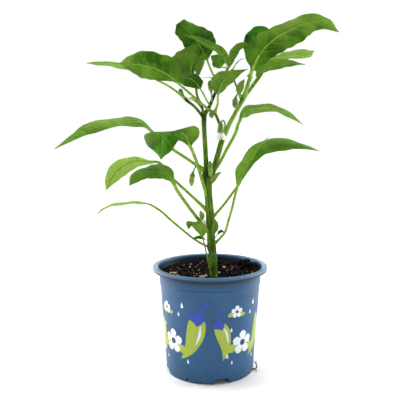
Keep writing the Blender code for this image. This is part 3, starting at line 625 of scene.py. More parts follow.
STEMS = {  # x, y, z and radius along each middle line
    "main_stem": (
        (4, -14, 107, 4.6), (4, -14, 116, 4.2), (3.6, -14, 128, 4.1), (2.6, -14, 138, 4.5),
        (1.6, -14, 143, 5.0), (1.3, -14, 149, 4.5), (0.5, -13, 164, 4.4), (0.2, -13, 172, 4.8),
        (-0.2, -13, 181, 4.5), (-1.5, -12.5, 196, 4.3), (-2.4, -12, 206, 4.5), (-3, -12, 214, 5.0),
        (-4, -12, 221, 4.8), (-4.3, -11.6, 228, 3.5), (-4.4, -11, 236, 2.7), (-5.4, -10.5, 254, 2.5),
        (-6.4, -10, 271, 2.5), (-6.7, -10, 282, 2.7), (-6, -10, 288, 2.6), (-1, -9, 296, 1.9),
        (6, -7, 312, 1.6), (13, -5, 326, 1.6), (20, -4, 339, 1.2)),
    "right_stem": (
        (-3, -12, 217, 3.6), (0, -12, 223, 3.4), (3.4, -12, 228, 3.2), (8.6, -11, 245, 3.0),
        (12.8, -10, 260, 2.9), (16.8, -10, 269, 2.7), (21, -10, 278, 2.4), (27.5, -10, 290, 2.3),
        (33, -10, 300, 2.5), (37, -10, 309, 2.4), (40, -11, 318, 2.2), (43, -12, 328, 2.0)),
    "branch_d": ((14, -10, 263, 1.6), (11, -14, 275, 1.6), (7, -17, 285, 1.6), (4, -18, 291, 1.9)),
    "twig_a": (
        (-6, -10, 283, 2.0), (-11.6, -10, 290.4, 1.6), (-17.8, -10, 297.2, 1.5), (-24.6, -9, 302.4, 1.7),
        (-27.6, -8, 305.4, 1.5)),
    "twig_b": ((-7, -10, 282, 1.8), (-9, -3, 297, 1.5), (-14, 2, 308, 1.3), (-16, 6, 320, 1.1)),
    "twig_e": (
        (33, -10, 300, 2.2), (39, -7, 309, 2.0), (47, -3, 320, 1.9), (55, -1, 331, 1.8), (59, 0, 338, 1.5)),
    "crown_twig": ((35, -10, 305, 1.3), (29, -15, 315, 1.0), (25, -13, 326, 1.0), (23, -9, 336, 0.9)),
}
COLLARS = (  # x, y, z and reach of each dark node
    (-4, -12, 223, 9), (-7, -10, 285, 5), (2, -14, 144, 6), (33, -10, 304, 4), (-3, -7, 300, 9),
    (4, -8, 307, 6), (-25, -9, 304, 4), (13, -10, 264, 3.5), (1, -13, 182, 3), (20, -4, 339, 3))

skin = join(*(tube(points, steps=10, sides=30, ridges=5, depth=0.07) for points in STEMS.values()))
apply_modifier(skin, "REMESH", mode="VOXEL", voxel_size=0.42 * MM)
apply_modifier(skin, "SMOOTH", factor=0.5, iterations=4)
collar = skin.data.attributes.new("collar", "FLOAT", "POINT")
fresh = skin.data.attributes.new("fresh", "FLOAT", "POINT")
spots = [(place(*spot[:3]), spot[3] * MM) for spot in COLLARS]
YOUNG_FROM, YOUNG_REACH, YOUNG_FADE = 5, 9, 4  # the right stem's point from which it is young, and mm
young = [place(*point[:3]) for point in STEMS["right_stem"][YOUNG_FROM:]]
for vert, dark, pale in zip(skin.data.vertices, collar.data, fresh.data):
    dark.value = max(math.exp(-((vert.co - spot).length / reach) ** 2) for spot, reach in spots)
    near = min((vert.co - spot).length for spot in young) / MM
    pale.value = max(0.0, min(1.0, (YOUNG_REACH - near) / YOUNG_FADE))

# Living stem: a thin waxy skin over green flesh, satin, streaked lengthwise with paler fibres, lighter where
# it is young and stained nearly black at the nodes.
living_stem, shader, _ = new_material(
    "living_stem", Roughness=0.5, IOR=1.42, Specular_IOR_Level=0.15,
    Subsurface_Weight=0.15, Subsurface_Radius=(0.4, 1.0, 0.2), Subsurface_Scale=1.5 * MM)
FIBRE = 0.9  # mm across, coarser than it is so that it shows; each streak is about sixteen times as long
stretched = add_node(living_stem, "Mapping", {"Vector": place_in(living_stem), "Scale": (1, 1, 0.06)})
fibre = grain(living_stem, stretched, FIBRE)
green = ramp(living_stem, fibre, (0.34, "274406"), (0.68, "6C9422"))
youth = painted(living_stem, "fresh")
lighter = ramp(living_stem, fibre, (0.34, "55801E"), (0.68, "96BC50"))
grown = blend(living_stem, youth, green, lighter)
darkened = blend(living_stem, painted(living_stem, "collar"), grown, srgb("0E1206"))
fill_sockets(shader, {"Base Color": darkened, "Normal": relief(living_stem, fibre, 0.35, 0.2)})
skin.data.materials.clear()
skin.data.materials.append(living_stem)
tie(skin, "stem_skin", list(STEMS), smooth=75)

# ---- Leaves ----------------------------------------------------------------------------------------------
# Thirty-three leaves, each a petiole that runs on as the midrib under a thin blade. Side veins are sunk into
# the upper face and stand out below, the blade puffs up between them, and its two halves fold and curl.

VEIN_PAIRS, VEIN_LEAN = 8, 0.17  # and how far each runs forward by the edge, as a share of the length
BLADE, VEIN_DEPTH = 0.34, 0.5  # mm thick, and how deep a side vein lies
CURL, RUFFLE = 12, 0.03  # degrees that the edge turns down, and how much a half width varies, as a share
SPAN_STEPS = 12  # steps of the curve between two points of a route
FACE_LONG = 1.25  # mm, about, of each face of a blade


def blade_width(t, widest):
    """A half width along the blade, as a share of its greatest: rounded base, drawn-out tip."""
    if t <= 0 or t >= 1:
        return 0.0
    return math.sin(math.pi * t ** (math.log(0.5) / math.log(widest))) ** 0.85


def between(values, t):
    """The value at t, from 0 to 1, on a smooth run through evenly spaced values."""
    span = t * (len(values) - 1)
    i = min(int(span), len(values) - 2)
    t = span - i
    a, b, c, d = values[max(i - 1, 0)], values[i], values[i + 1], values[min(i + 2, len(values) - 1)]
    return curve_at(a, b, c, d, t)


def evenly(route, count):
    """count + 1 points at equal distances along a route."""
    reach = [0.0]
    for a, b in zip(route, route[1:]):
        reach.append(reach[-1] + (b - a).length)
    points, i = [], 0
    for k in range(count + 1):
        want = reach[-1] * k / count
        while i < len(route) - 2 and reach[i + 1] < want:
            i += 1
        share = (want - reach[i]) / max(reach[i + 1] - reach[i], 1e-9)
        points.append(route[i].lerp(route[i + 1], min(share, 1.0)))
    return points


def vein_phase(u, s, left):
    """A whole number on each side vein; the veins leave the midrib turn about on the two halves."""
    return (u - VEIN_LEAN * s ** 1.2) * VEIN_PAIRS + (0.5 if left else 0.0)


def leaf_frame(along, heading, roll):
    """The right-hand side and upper face of a leaf at a point, from where it heads and how it is rolled."""
    level = Vector((math.sin(heading), -math.cos(heading), 0))
    face = level.cross(along).normalized()
    side = along.cross(face)
    return side * math.cos(roll) - face * math.sin(roll), face * math.cos(roll) + side * math.sin(roll)


def paleness(tone, u, s, on_left):
    """How pale the blade is at a point: even, or from a run along each half that meets at the midrib."""
    if not isinstance(tone, tuple):
        return tone
    left, right = (between(run, u) for run in tone)
    middle = (left + right) / 2
    return middle + ((left if on_left else right) - middle) * min(1.0, 2.5 * s)


def leaf(node, route, petiole=2, faces=5, widths=(3, 3), widest=0.45, left=None, right=None, rolls=(0, 0),
         rise=5, heading=None, wave=0.6, waves=3.0, tone=0.3, stalk=1.0):
    """One leaf, with this many faces across each half. widths are its two halves' greatest widths, or left
    and right list them at even steps. tone is how pale it is, all over or as a run along each half."""
    line = curve_through(route, SPAN_STEPS)
    split = (petiole - 1) * SPAN_STEPS
    spine = line[split:]
    if heading is None:
        run = spine[-1] - spine[0]
        heading = math.degrees(math.atan2(run.y, run.x))
    length = sum((b - a).length for a, b in zip(spine, spine[1:]))
    along_count = max(24, min(84, round(length / FACE_LONG)))
    spine = evenly(spine, along_count)
    frames = []
    for i, point in enumerate(spine):
        along = (spine[min(i + 1, along_count)] - spine[max(i - 1, 0)]).normalized()
        roll = math.radians(between(rolls, i / along_count))
        frames.append(leaf_frame(along, math.radians(heading), roll))

    blade = new_grid(along_count, 2 * faces)
    tones = blade.data.attributes.new("tone", "FLOAT", "POINT")
    for vert, pale in zip(blade.data.vertices, tones.data):
        i, s, on_left = round((vert.co.x + 1) / 2 * along_count), abs(vert.co.y), vert.co.y > 0
        u = i / along_count
        side, face = frames[i]
        pale.value = paleness(tone, u, s, on_left)
        listed = left if on_left else right
        half = between(listed, u) if listed else widths[0 if on_left else 1] * blade_width(u, widest)
        ripple = math.sin(math.tau * (u * waves * 1.9 + (0.2 if on_left else 0.65)))
        half *= 1 + RUFFLE * ripple * min(1.0, 4 * u)
        half = max(half, stalk * 0.7 * (1 - u) ** 6, 0.12)
        tilt = math.radians((rise - CURL * s) * min(1.0, 3 * u))
        swell = 0.5 + 0.5 * math.cos(math.tau * vein_phase(u, s, on_left))
        depth = -VEIN_DEPTH * swell ** 6 * (1 - s) * min(1.0, half / 6)
        billow = math.sin(math.tau * (u * waves + (0.37 if on_left else 0.0)))
        depth += wave * s * s * billow * min(1.0, half / 5)
        out = half * s * (-side if on_left else side)
        spot = spine[i] + out * math.cos(tilt) + face * (half * s * math.sin(tilt) + depth)
        vert.co = place(*spot)
    blade.data.materials.append(leaf_upper)
    blade.data.materials.append(leaf_under)
    apply_modifier(blade, "SOLIDIFY", thickness=BLADE * MM, offset=-1, material_offset=1,
                   material_offset_rim=1)

    rib = [(*line[0], 1.9 * stalk), (*line[3], 1.35 * stalk), (*line[6], 1.05 * stalk)]
    rib += [(*line[i], 0.95 * stalk) for i in range(SPAN_STEPS, split, SPAN_STEPS // 2)]
    for i in range(0, along_count, max(2, along_count // 16)):
        u = i / along_count
        petiole_end = 0.9 * stalk * max(0.0, 1 - 5 * u)
        radius = petiole_end + min(stalk, 1.0) * (0.6 * (1 - u) ** 1.2 + 0.14) * min(1.0, 5 * u)
        rib.append((*(spine[i] - frames[i][1] * radius * 0.55), radius))
    midrib = tube(rib, steps=3, sides=12, ridges=3, depth=0.06)
    midrib.data.materials.append(petiole_green)
    return tie(join(blade, midrib), node + "_blade", [node], smooth=50)


def leaf_material(name, dark, mid, young, vein, glow, gloss, through, vein_height):
    """A live blade: waxy skin over veined flesh that lets some light through, drawn from its own veins."""
    material, shader, output = new_material(name, Roughness=gloss, IOR=1.45, Specular_IOR_Level=0.1)
    uv = add_node(material, "UVMap", uv_map="UVMap")
    across = add_node(material, "SeparateXYZ", {0: uv})
    u, v = across.outputs["X"], across.outputs["Y"]
    signed = calculate(material, "MULTIPLY_ADD", v, 2.0, -1.0)
    s = calculate(material, "ABSOLUTE", signed)
    lean = calculate(material, "POWER", s, 1.2)
    pushed = calculate(material, "MULTIPLY_ADD", lean, -VEIN_LEAN, u)
    half = calculate(material, "GREATER_THAN", v, 0.5)
    offset = calculate(material, "MULTIPLY", half, 0.5)
    phase = calculate(material, "MULTIPLY_ADD", pushed, float(VEIN_PAIRS), offset)
    away = calculate(material, "PINGPONG", phase, 0.5)
    side_vein = rescale(material, away, (0.0, 0.14), (0.45, 0.0), interpolation_type="SMOOTHSTEP")
    fading = rescale(material, s, (0.1, 0.95), (1.0, 0.15))
    side_vein = calculate(material, "MULTIPLY", side_vein, fading)
    middle = rescale(material, s, (0.015, 0.09), (1.0, 0.0), interpolation_type="SMOOTHSTEP")
    veins = calculate(material, "MAXIMUM", side_vein, middle)
    where = place_in(material)
    NET, PATCH = 2.6, 14  # mm
    net = add_node(material, "TexVoronoi",
                   {"Vector": where, "Scale": 1 / (NET * MM)}, feature="DISTANCE_TO_EDGE")
    mesh_line = rescale(material, net, (0.0, 0.12), (0.12, 0.0))
    marks = calculate(material, "MAXIMUM", veins, mesh_line)
    patch = grain(material, where, PATCH, 3.0)
    flesh = ramp(material, patch, (0.41, dark), (0.6, mid))
    aged = blend(material, painted(material, "tone"), flesh, srgb(young))
    veined = blend(material, marks, aged, srgb(vein))
    fine = grain(material, where, 0.7)
    skin_height = calculate(material, "MULTIPLY_ADD", marks, vein_height, fine)
    bump = relief(material, skin_height, 0.6, 0.25)
    lit = blend(material, 0.55, veined, srgb(glow))
    back = add_node(material, "BsdfTranslucent", {"Color": lit, "Normal": bump})
    both = add_node(material, "MixShader", {0: through, 1: shader, 2: back})
    fill_sockets(shader, {"Base Color": veined, "Normal": bump})
    fill_sockets(output, {"Surface": both})
    return material


# The upper face is deep green under a waxy cuticle, which gives a soft broad gloss; the underside is paler
# and matt, with the veins standing out light. Both let through a yellow-green glow.
leaf_upper = leaf_material("leaf_upper_face", dark="1A4A00", mid="3A8404", young="8CB840", vein="5C9A22",
                           glow="74BC0A", gloss=0.45, through=0.22, vein_height=-2.4)
leaf_under = leaf_material("leaf_underside", dark="2C5602", mid="4E7E0C", young="A4C65A", vein="74A236",
                           glow="72B40C", gloss=0.6, through=0.2, vein_height=3.0)
petiole_green = mottled_material("petiole_skin", 3, 2.0, ((0.3, "5F8A20"), (0.7, "8FB340")),
                                 depth=0.1, strength=0.2, Roughness=0.5, IOR=1.42, Specular_IOR_Level=0.2)

# Each row says how many points of its route are petiole, how many faces lie across each half, how wide the
# blade is left and right of its midrib, and how it is rolled, raised, headed and waved.
LEAVES = {  # x, y, z along the petiole and on along the midrib
    "leaf_top_left": dict(
        petiole=3, faces=12, rolls=(55, 60, 40), rise=15, stalk=1.3,
        tone=((0, 0.15, 0.05, 0, 0, 0.05, 0.3, 0.45), (0.1, 0.2, 0.05, 0.15, 0.25, 0.1, 0.2, 0.35)),
        left=(1, 12, 17.5, 17, 16, 15.5, 12.8, 8, 0.3),
        right=(1, 4.5, 8.5, 12, 13.5, 14, 12.5, 7, 0.3),
        route=((3.4, -18, 289), (-12.6, -22, 301.6), (-32, -29, 318.2), (-38, -31, 324), (-54, -37, 332),
               (-71, -42, 336), (-92, -44, 337))),
    "leaf_far_left": dict(
        petiole=3, faces=7, rolls=(30, 25, 20), rise=10, stalk=1.2, tone=0.45,
        left=(1, 3, 3, 3, 3.5, 2.4, 2.5, 2, 0.3),
        right=(1, 4, 6, 6, 9, 9, 8, 5, 0.3),
        route=((-26, -8, 304.4), (-42, 0, 317), (-57, 8, 326), (-70, 14, 334), (-90, 20, 343),
               (-116, 26, 348), (-141, 30, 348))),
    "leaf_crown_fan": dict(
        faces=12, heading=-90, stalk=1.2,
        tone=((0.05, 0.15, 0.1), (0.1, 0.3, 0.2)),
        left=(1, 3, 4, 4.5, 5, 5, 4.5, 3, 0.3),
        right=(1, 14, 20, 23, 22, 19, 14, 7.5, 0.3),
        route=((-16, 6, 319), (-20, 5, 327), (-21, 3, 336), (-18, 2, 349), (-14, 2, 364))),
    "leaf_crown_bright": dict(
        widths=(5, 5.5), widest=0.55, heading=-90, stalk=0.8, tone=0.35,
        route=((-15, 4, 313), (-13.5, 8, 329), (-12.5, 11, 342), (-6.5, 13, 355))),
    "leaf_crown_dark": dict(
        petiole=3, faces=7, rolls=(-50, -55, -50), stalk=0.86, tone=0.1,
        left=(0.6, 4, 8, 9.5, 10, 9.5, 8, 5.5, 1),
        right=(0.6, 8, 9.5, 9.5, 8.5, 8, 7, 5.5, 1),
        route=((0, -9, 297), (-5, -14, 305), (-10, -18, 314), (-18, -20, 323), (-28, -18, 327),
               (-37, -12, 330))),
    "leaf_crown_front": dict(
        petiole=3, faces=9, rolls=(0, -20, -60), heading=-70, stalk=1.2, tone=0.2,
        left=(0.6, 4.5, 6.5, 7, 7.5, 6, 4, 1.5, 0.2),
        right=(0.6, 8.5, 12.5, 12, 8, 4.5, 2.5, 1.2, 0.2),
        route=((5, -18, 290), (8, -24, 299), (8, -28, 307), (13, -32, 320), (24, -34, 328), (39, -32, 333))),
    "leaf_crown_tall": dict(
        petiole=3, faces=12, rolls=(-60, -60), stalk=1.2,
        tone=((0.25, 0.1, 0.1, 0.2, 0.1), (0.3, 0.1, 0.05, 0.25, 0.15)),
        left=(0.8, 6.5, 10.5, 13.5, 14.5, 13.5, 13, 12.5, 6),
        right=(0.8, 9, 17, 20.5, 20, 17, 11.5, 9, 6),
        route=((14, -4, 326), (4, 4, 331), (-3, 12, 348), (-11, 17, 364), (-22, 22, 379), (-34, 28, 393))),
    "leaf_crown_folded": dict(
        petiole=1, widths=(6, 4), widest=0.35, rolls=(40, 40), rise=20, stalk=0.8, tone=0.2,
        route=((20, -5, 338), (16, -12, 347), (8, -14, 355), (-6, -14, 362), (-17, -12, 368),
               (-29, -10, 371))),
    "leaf_crown_small": dict(
        faces=6, widths=(8, 7), rolls=(-60, -60), stalk=0.69,
        route=((20, -4, 338), (13, 4, 340), (11, 8, 344), (7, 12, 350), (1, 16, 354))),
    "leaf_crown_bent": dict(
        petiole=1, widths=(5, 5), rolls=(-60, -60), heading=0, stalk=0.69,
        route=((20, -3, 338), (24, -4, 351), (28.5, -5, 358.5), (35.5, -6, 362), (43, -6, 361.5))),
    "leaf_right_shaded": dict(
        faces=10, widths=(13, 9), widest=0.58, rolls=(120, 120), heading=0, stalk=1.2, tone=0,
        route=((42, -11, 324), (45, 2, 338), (44.5, 9, 351), (48, 15, 366), (57, 22, 377), (70, 29, 382))),
    "leaf_top_right": dict(
        faces=12, rolls=(-60, -65, -50), rise=10, stalk=2, wave=0.9, waves=4.5,
        tone=((0.1, 0, 0, 0.15, 0.05, 0.2, 0.1, 0.3), (0.15, 0.05, 0.1, 0.2, 0.45, 0.25, 0.35, 0.4)),
        left=(5, 11, 14, 16, 16.5, 15.2, 11, 4, 0.3),
        right=(1, 14.5, 14.5, 11.8, 9, 8.5, 8, 8, 0.3),
        route=((42, -12, 327), (44.5, -13.5, 334.5), (47, -16, 341), (54, -20, 353), (66, -26, 364),
               (83, -32, 373), (104, -38, 379.2), (129, -44, 367.6))),
    "leaf_right_curled": dict(
        faces=6, rolls=(-40, -40), rise=10, stalk=1.2, tone=0.5,
        left=(2, 6, 6.5, 6.5, 6, 6, 6, 6, 5),
        right=(2, 3, 3, 4, 5.5, 7, 7, 6.5, 5),
        route=((58, 0, 335), (55, 8, 340), (64.5, 12, 347), (78.5, 18, 353.5), (97, 25, 356.8),
               (117, 32, 358.4))),
    "leaf_right_slim": dict(
        faces=7, rolls=(-50, -50), rise=10, stalk=0.92, tone=0.2,
        left=(1, 2, 4, 5.3, 5.6, 5, 3.5, 1.2, 0.2),
        right=(3, 6.5, 7, 7, 6.5, 5.5, 3.5, 1.6, 0.2),
        route=((46, -4, 320), (51, -2, 328), (57, -2, 335), (68, -4, 340.4), (83, -6, 342.6),
               (102, -9, 341))),
    "leaf_axil_right": dict(
        widths=(4, 4), widest=0.4, rise=10, heading=-90, stalk=0.69, tone=0.4,
        route=((33, -10, 305), (31, -19, 309), (31, -21, 314), (33, -22, 319), (36, -22, 324))),
    "leaf_arch_right": dict(
        petiole=5, faces=7, rolls=(-35, -30, -30), rise=10, stalk=1.9,
        tone=((0.15, 0.2, 0.4, 0.45, 0.6), (0.15, 0.25, 0.35, 0.5, 0.65)),
        left=(5, 14, 13, 10, 7.5, 5.5, 5, 3, 0.3),
        right=(4, 9.5, 7, 6.5, 6, 4.5, 3.5, 2, 0.3),
        route=((-2, -12, 219), (9, -6, 233), (18.6, 0, 250.5), (28.6, 4, 269), (33, 8, 284),
               (40, 10, 293.6), (54, 14, 297), (72, 20, 297), (91, 26, 290), (107, 30, 279))),
    "leaf_low_right_narrow": dict(
        petiole=5, rolls=(60, 60), stalk=1.4, tone=0.6,
        left=(1, 5.5, 8, 7, 6, 5.5, 3.5, 1, 0.2),
        right=(1, 3, 5, 5.5, 5, 3.5, 2, 0.8, 0.2),
        route=((3, -14, 145), (15.4, -22, 160), (19.2, -26, 173), (23.2, -30, 188), (28.4, -33, 212),
               (32, -36, 229), (43, -40, 246), (60, -44, 264))),
    "leaf_low_right": dict(
        petiole=4, faces=8, rolls=(45, 45, 30), stalk=1.6,
        # The left half is painted paler than the right: a painted sheen where that part catches the light.
        tone=((0.6, 0.6, 0.55, 0.5, 0.4, 0.45, 0.6), (0.5, 0.45, 0.3, 0.3, 0.2, 0.3, 0.45)),
        left=(1, 5, 7, 8, 8.5, 8, 8, 6.5, 0.3),
        right=(1, 7, 9.5, 11, 12, 12, 9.5, 3.5, 0.3),
        route=((1, -13, 174), (13.6, -6, 187.2), (24.8, 0, 201.2), (33.6, 4, 213.6), (39, 8, 231.6),
               (49, 13, 246.6), (66, 20, 255.8), (92, 28, 257.8), (129, 34, 247.8))),
    "leaf_droop_front": dict(
        petiole=4, faces=12, rolls=(25, 25, 5, 0, 0), heading=-120, stalk=1.9,
        tone=((0.1, 0.3, 0.15, 0.1, 0.05, 0.15, 0.3), (0.1, 0.2, 0.05, 0.15, 0.3, 0.1, 0.3)),
        left=(2, 12, 18, 19, 17, 17, 15, 10, 0.3),
        right=(2, 7, 13, 19, 24, 28, 22, 10, 0.3),
        route=((-2, -12, 196), (-7, -17, 211), (-14.4, -23, 237), (-21, -33, 254.5), (-25, -40, 264.4),
               (-32, -47, 268.5), (-40.5, -53, 269), (-46.5, -58, 264), (-49.2, -63, 241))),
    "leaf_arch_left": dict(
        petiole=4, faces=8, rolls=(25, 30, 25), stalk=1.8,
        tone=((0.1, 0.3, 0.45, 0.35, 0.2, 0.4), (0, 0.15, 0.3, 0.2, 0.1, 0.45)),
        left=(2.5, 5, 6.5, 6.5, 8, 11.5, 9.5, 11, 12, 12.5, 12.5, 12, 10, 7, 5, 2.8, 1.3, 0.3),
        right=(3, 8, 10.5, 11, 11, 10.5, 9, 7.5, 7.5, 8, 8.3, 8.5, 8, 7, 5.5, 3.5, 1.8, 0.3),
        route=((-4, -12, 225), (-22, -6, 238), (-43, 2, 251.4), (-56, 7, 262.5), (-64, 10, 270),
               (-76, 14, 281), (-94, 20, 282), (-124, 28, 278), (-154, 34, 268), (-184, 38, 250))),
    "leaf_low_left_front": dict(
        petiole=5, faces=8, rolls=(-40, -40), stalk=2,
        tone=((0.25, 0.3, 0.35, 0.4, 0.3, 0.45), (0.35, 0.4, 0.25, 0.2, 0.35, 0.5)),
        left=(3, 9.5, 10.5, 10, 9.5, 9.5, 8, 5, 0.3),
        right=(9, 15, 15, 12, 9, 7, 6, 6.5, 0.3),
        route=((1, -13, 157), (-15.2, -17, 177.5), (-26.8, -20, 193.5), (-36.2, -26, 208.5),
               (-39.8, -31, 217.5), (-46, -34, 226), (-59, -40, 228.5), (-73, -46, 226), (-83, -50, 214))),
    "leaf_low_left": dict(
        petiole=4, faces=8, rolls=(50, 60, 60), stalk=1.7, tone=1,
        left=(1.5, 3, 4, 6.5, 9, 10.5, 9, 6, 0.3),
        right=(1.5, 2, 5, 8.5, 9.5, 10, 9, 4.5, 0.3),
        route=((-1, -13, 182), (-22.6, -6, 201.2), (-43.6, 0, 220.2), (-55, 4, 235), (-68, 8, 236),
               (-86, 12, 237), (-107, 16, 225), (-120, 18, 203))),
    "leaf_lowest_left": dict(
        petiole=5, widths=(6, 6), widest=0.35, rolls=(20, 20), stalk=1.4, tone=0.9,
        route=((2, -14, 142), (-8, -12, 146), (-20, -9, 153), (-44, -4, 172), (-62, 2, 186.5),
               (-80, 6, 191), (-106, 12, 188.5), (-122, 15, 183), (-131, 16, 175))),
    "leaf_basal": dict(
        petiole=4, faces=6, widths=(8, 8), heading=-110, stalk=0.92, tone=0.4,
        route=((2, -15, 110), (-3, -20, 133), (-6, -21, 146), (-8, -22, 156), (-10, -24, 166),
               (-16, -26, 173), (-22, -30, 172), (-23, -33, 166))),
    "leaflet_left_dark": dict(
        rolls=(-30, -30), stalk=0.5, tone=0,
        route=((1, -15, 147), (-5, -25, 154), (-12, -28, 157), (-19, -30, 155))),
    "leaflet_right_dark": dict(
        rolls=(30, 30), stalk=0.5, tone=0,
        route=((3, -13, 150), (8, -13, 157), (11, -13, 161), (16, -14, 160))),
    "leaflet_right_light": dict(
        heading=-90, stalk=0.5, tone=0.8,
        route=((2, -11, 151), (5.6, -8, 158), (6.6, -7, 166), (4, -7, 175))),
    "leaflet_spike": dict(
        petiole=1, widths=(1.4, 1.4), stalk=0.4, tone=0.5,
        route=((3, -15, 170), (5, -19, 171), (12, -20, 172))),
    "leaflet_left_light": dict(
        heading=-90, stalk=0.5, tone=0.8,
        route=((-2, -14, 166), (-8, -19, 174), (-9, -20, 180), (-11, -21, 185))),
    "leaflet_left_small": dict(
        stalk=0.5, tone=0.4,
        route=((-1, -13, 169), (-7, -8, 172), (-10, -6, 174), (-15, -4, 172))),
    "leaflet_fork": dict(
        petiole=1, widths=(3, 3.2), widest=0.4, rolls=(-60, -60), stalk=0.5, tone=0.5,
        route=((-1, -13, 212), (3, -16, 218), (7, -18, 223), (12.5, -20, 227))),
    "leaflet_crown_left": dict(
        petiole=1, widths=(1.4, 1.4), stalk=0.5, tone=0.6,
        route=((12, -6, 325), (5, -12, 326), (-1, -13, 327), (-8, -13, 327))),
    "leaflet_crown_right": dict(
        petiole=1, widths=(1.4, 1.4), stalk=0.5, tone=0.6,
        route=((24, -10, 335), (28, -13, 342), (33, -15, 346), (37, -16, 346))),
}
for node, shape in LEAVES.items():
    leaf(node, **shape)

# ---- Buds ------------------------------------------------------------------------------------------------
# Seven flower buds at different ages. Each hangs on a ribbed stalk that widens into a green calyx with small
# teeth, and the folded petals show below it, cream where the bud is nearly ready to open.

BUDS = {  # how many points are stalk, with one more for the calyx, the petals' colour, and x, y, z and radius
    "bud_fork": (3, "ripening", (
        (-3, -13, 218, 1.0), (-0.6, -18, 228, 0.8), (-0.2, -20, 237, 1.1), (0, -21, 234, 2.3),
        (0.4, -22, 228, 2.5), (0.6, -22, 223, 1.4))),
    "bud_left": (4, "ripening", (
        (-4, -12, 226, 1.0), (-9, -17, 232, 0.8), (-14, -20, 234, 0.8), (-18, -21, 227, 0.9),
        (-19, -21, 223, 2.5), (-20, -21, 217, 2.9), (-20, -21, 212.5, 1.6))),
    "bud_crown_dark": (2, "green", (
        (2, -9, 300, 0.9), (1.5, -17, 309, 0.9), (0.5, -20, 315, 2.2), (-0.5, -21, 319, 2.1),
        (-0.5, -21, 322, 1.2))),
    "bud_right": (3, "green", (
        (33, -10, 303, 0.9), (30, -18, 309, 0.8), (27.6, -20, 306.5, 1.0), (26.6, -20, 302, 2.7),
        (26.4, -20, 298, 2.9), (26.4, -20, 295, 1.6))),
    "bud_twig": (2, "green", (
        (-25, -8, 304, 0.9), (-28, -12, 307, 0.9), (-31, -14, 310, 2.3), (-31.5, -14, 312.5, 2.2),
        (-32, -14, 314.5, 1.2))),
    "bud_cream": (2, "cream", (
        (-6, -10, 288, 0.9), (-11, -15, 297, 0.8), (-15, -17, 303, 2.2), (-19, -18, 304, 2.2),
        (-23, -18, 304, 1.0))),
    "bud_node": (2, "green", (
        (5, -17, 289, 0.9), (2, -22, 290, 0.9), (1, -24, 288, 2.2), (1.5, -25, 286, 2.1),
        (2, -25, 284, 1.2))),
}

# Calyx: the same waxy green skin as the stalks, a shade deeper.
calyx_green = mottled_material("calyx_skin", 1.6, 3.0, ((0.3, "2F5210"), (0.7, "739A2C")),
                               depth=0.2, strength=0.3, Roughness=0.45, IOR=1.42)


def petal_material(name, low, high):
    """Folded or open petal flesh: soft, matt and slightly see-through, with fine lengthwise lines."""
    material, shader, output = new_material(name, Roughness=0.6, IOR=1.4)
    drawn = add_node(material, "Mapping", {"Vector": place_in(material), "Scale": (1, 1, 0.25)})
    lines = grain(material, drawn, 0.8, 3.0)
    tint = ramp(material, lines, (0.3, low), (0.7, high))
    bump = relief(material, lines, 0.3, 0.1)
    back = add_node(material, "BsdfTranslucent", {"Color": tint})
    both = add_node(material, "MixShader", {0: 0.25, 1: shader, 2: back})
    fill_sockets(shader, {"Base Color": tint, "Normal": bump})
    fill_sockets(output, {"Surface": both})
    return material


BUD_PETALS = {"cream": petal_material("cream_bud_petals", "C9CF86", "EEEBC0"),
              "ripening": petal_material("ripening_bud_petals", "6F9A34", "A9BC5E"),
              "green": petal_material("green_bud_petals", "3F6A1C", "7FA545")}


RIM_WIDE, RIM_FROM = 1.2, 0.8  # mm that the rim reaches back, and from the middle line


def toothed(piece, tip, back, teeth, depth):
    """Draws every other stretch of a calyx's rim out into a tooth, along the way from back to tip."""
    along = (tip - back).normalized()
    across = along.orthogonal().normalized()
    up = along.cross(across)
    for vert in piece.data.vertices:
        away = vert.co - tip
        reach = away.dot(along)
        if reach > -RIM_WIDE * MM and (away - along * reach).length > RIM_FROM * MM:
            turn = math.atan2(away.dot(up), away.dot(across))
            vert.co += along * depth * MM * max(0.0, math.cos(teeth * turn)) * (1 + reach / (RIM_WIDE * MM))


for node, (stalk, colour, points) in BUDS.items():
    cup_end = stalk + 1
    cup = [(*point[:3], point[3] * (1.0 if i < stalk else 1.12)) for i, point in enumerate(points[:cup_end])]
    last, then = Vector(points[cup_end - 1]), Vector(points[cup_end])
    cup.append((*last.lerp(then, 0.3).xyz, last.w * 1.14))
    green = tube(cup, steps=6, sides=20, ridges=5, depth=0.05)
    toothed(green, place(*cup[-1][:3]), place(*cup[-2][:3]), teeth=5, depth=1.0)
    green.data.materials.append(calyx_green)
    tip = points[-1]
    end = Vector(tip) + (Vector(tip) - Vector(points[-2])) * 0.3
    folded = tube([(*last.xyz, last.w * 0.8), *points[cup_end:], (*end.xyz, 0.15)], steps=8, sides=24,
                  ridges=5, depth=0.07)
    folded.data.materials.append(BUD_PETALS[colour])
    tie(join(green, folded), node + "_cup", [node], smooth=60)

# ---- First flower ----------------------------------------------------------------------------------------
# The first open flower nods under its calyx beside the right stem: a white corolla of six pointed lobes
# joined at the throat, with a ring of anthers and the style in the middle.

PETALS = 6
FLOWER_X, FLOWER_Y, FLOWER_TOP, CUP_END = 11.0, -27.0, 268.7, 269.4
FLOWER_STALK = ((14, -10, 262, 1.1), (16, -17, 276, 0.9), (14, -23, 281, 0.9), (11.5, -26, 279, 1.2),
                (FLOWER_X, FLOWER_Y, 275, 2.9), (FLOWER_X, FLOWER_Y, 270.5, 3.4),
                (FLOWER_X, FLOWER_Y, CUP_END, 3.5))
cup = tube(FLOWER_STALK, steps=6, sides=30, ridges=PETALS, depth=0.05)
toothed(cup, place(FLOWER_X, FLOWER_Y, CUP_END), place(FLOWER_X, FLOWER_Y, 272), teeth=PETALS, depth=1.3)
cup.data.materials.append(calyx_green)
tie(cup, "flower_cup", ["flower_calyx"], smooth=60)

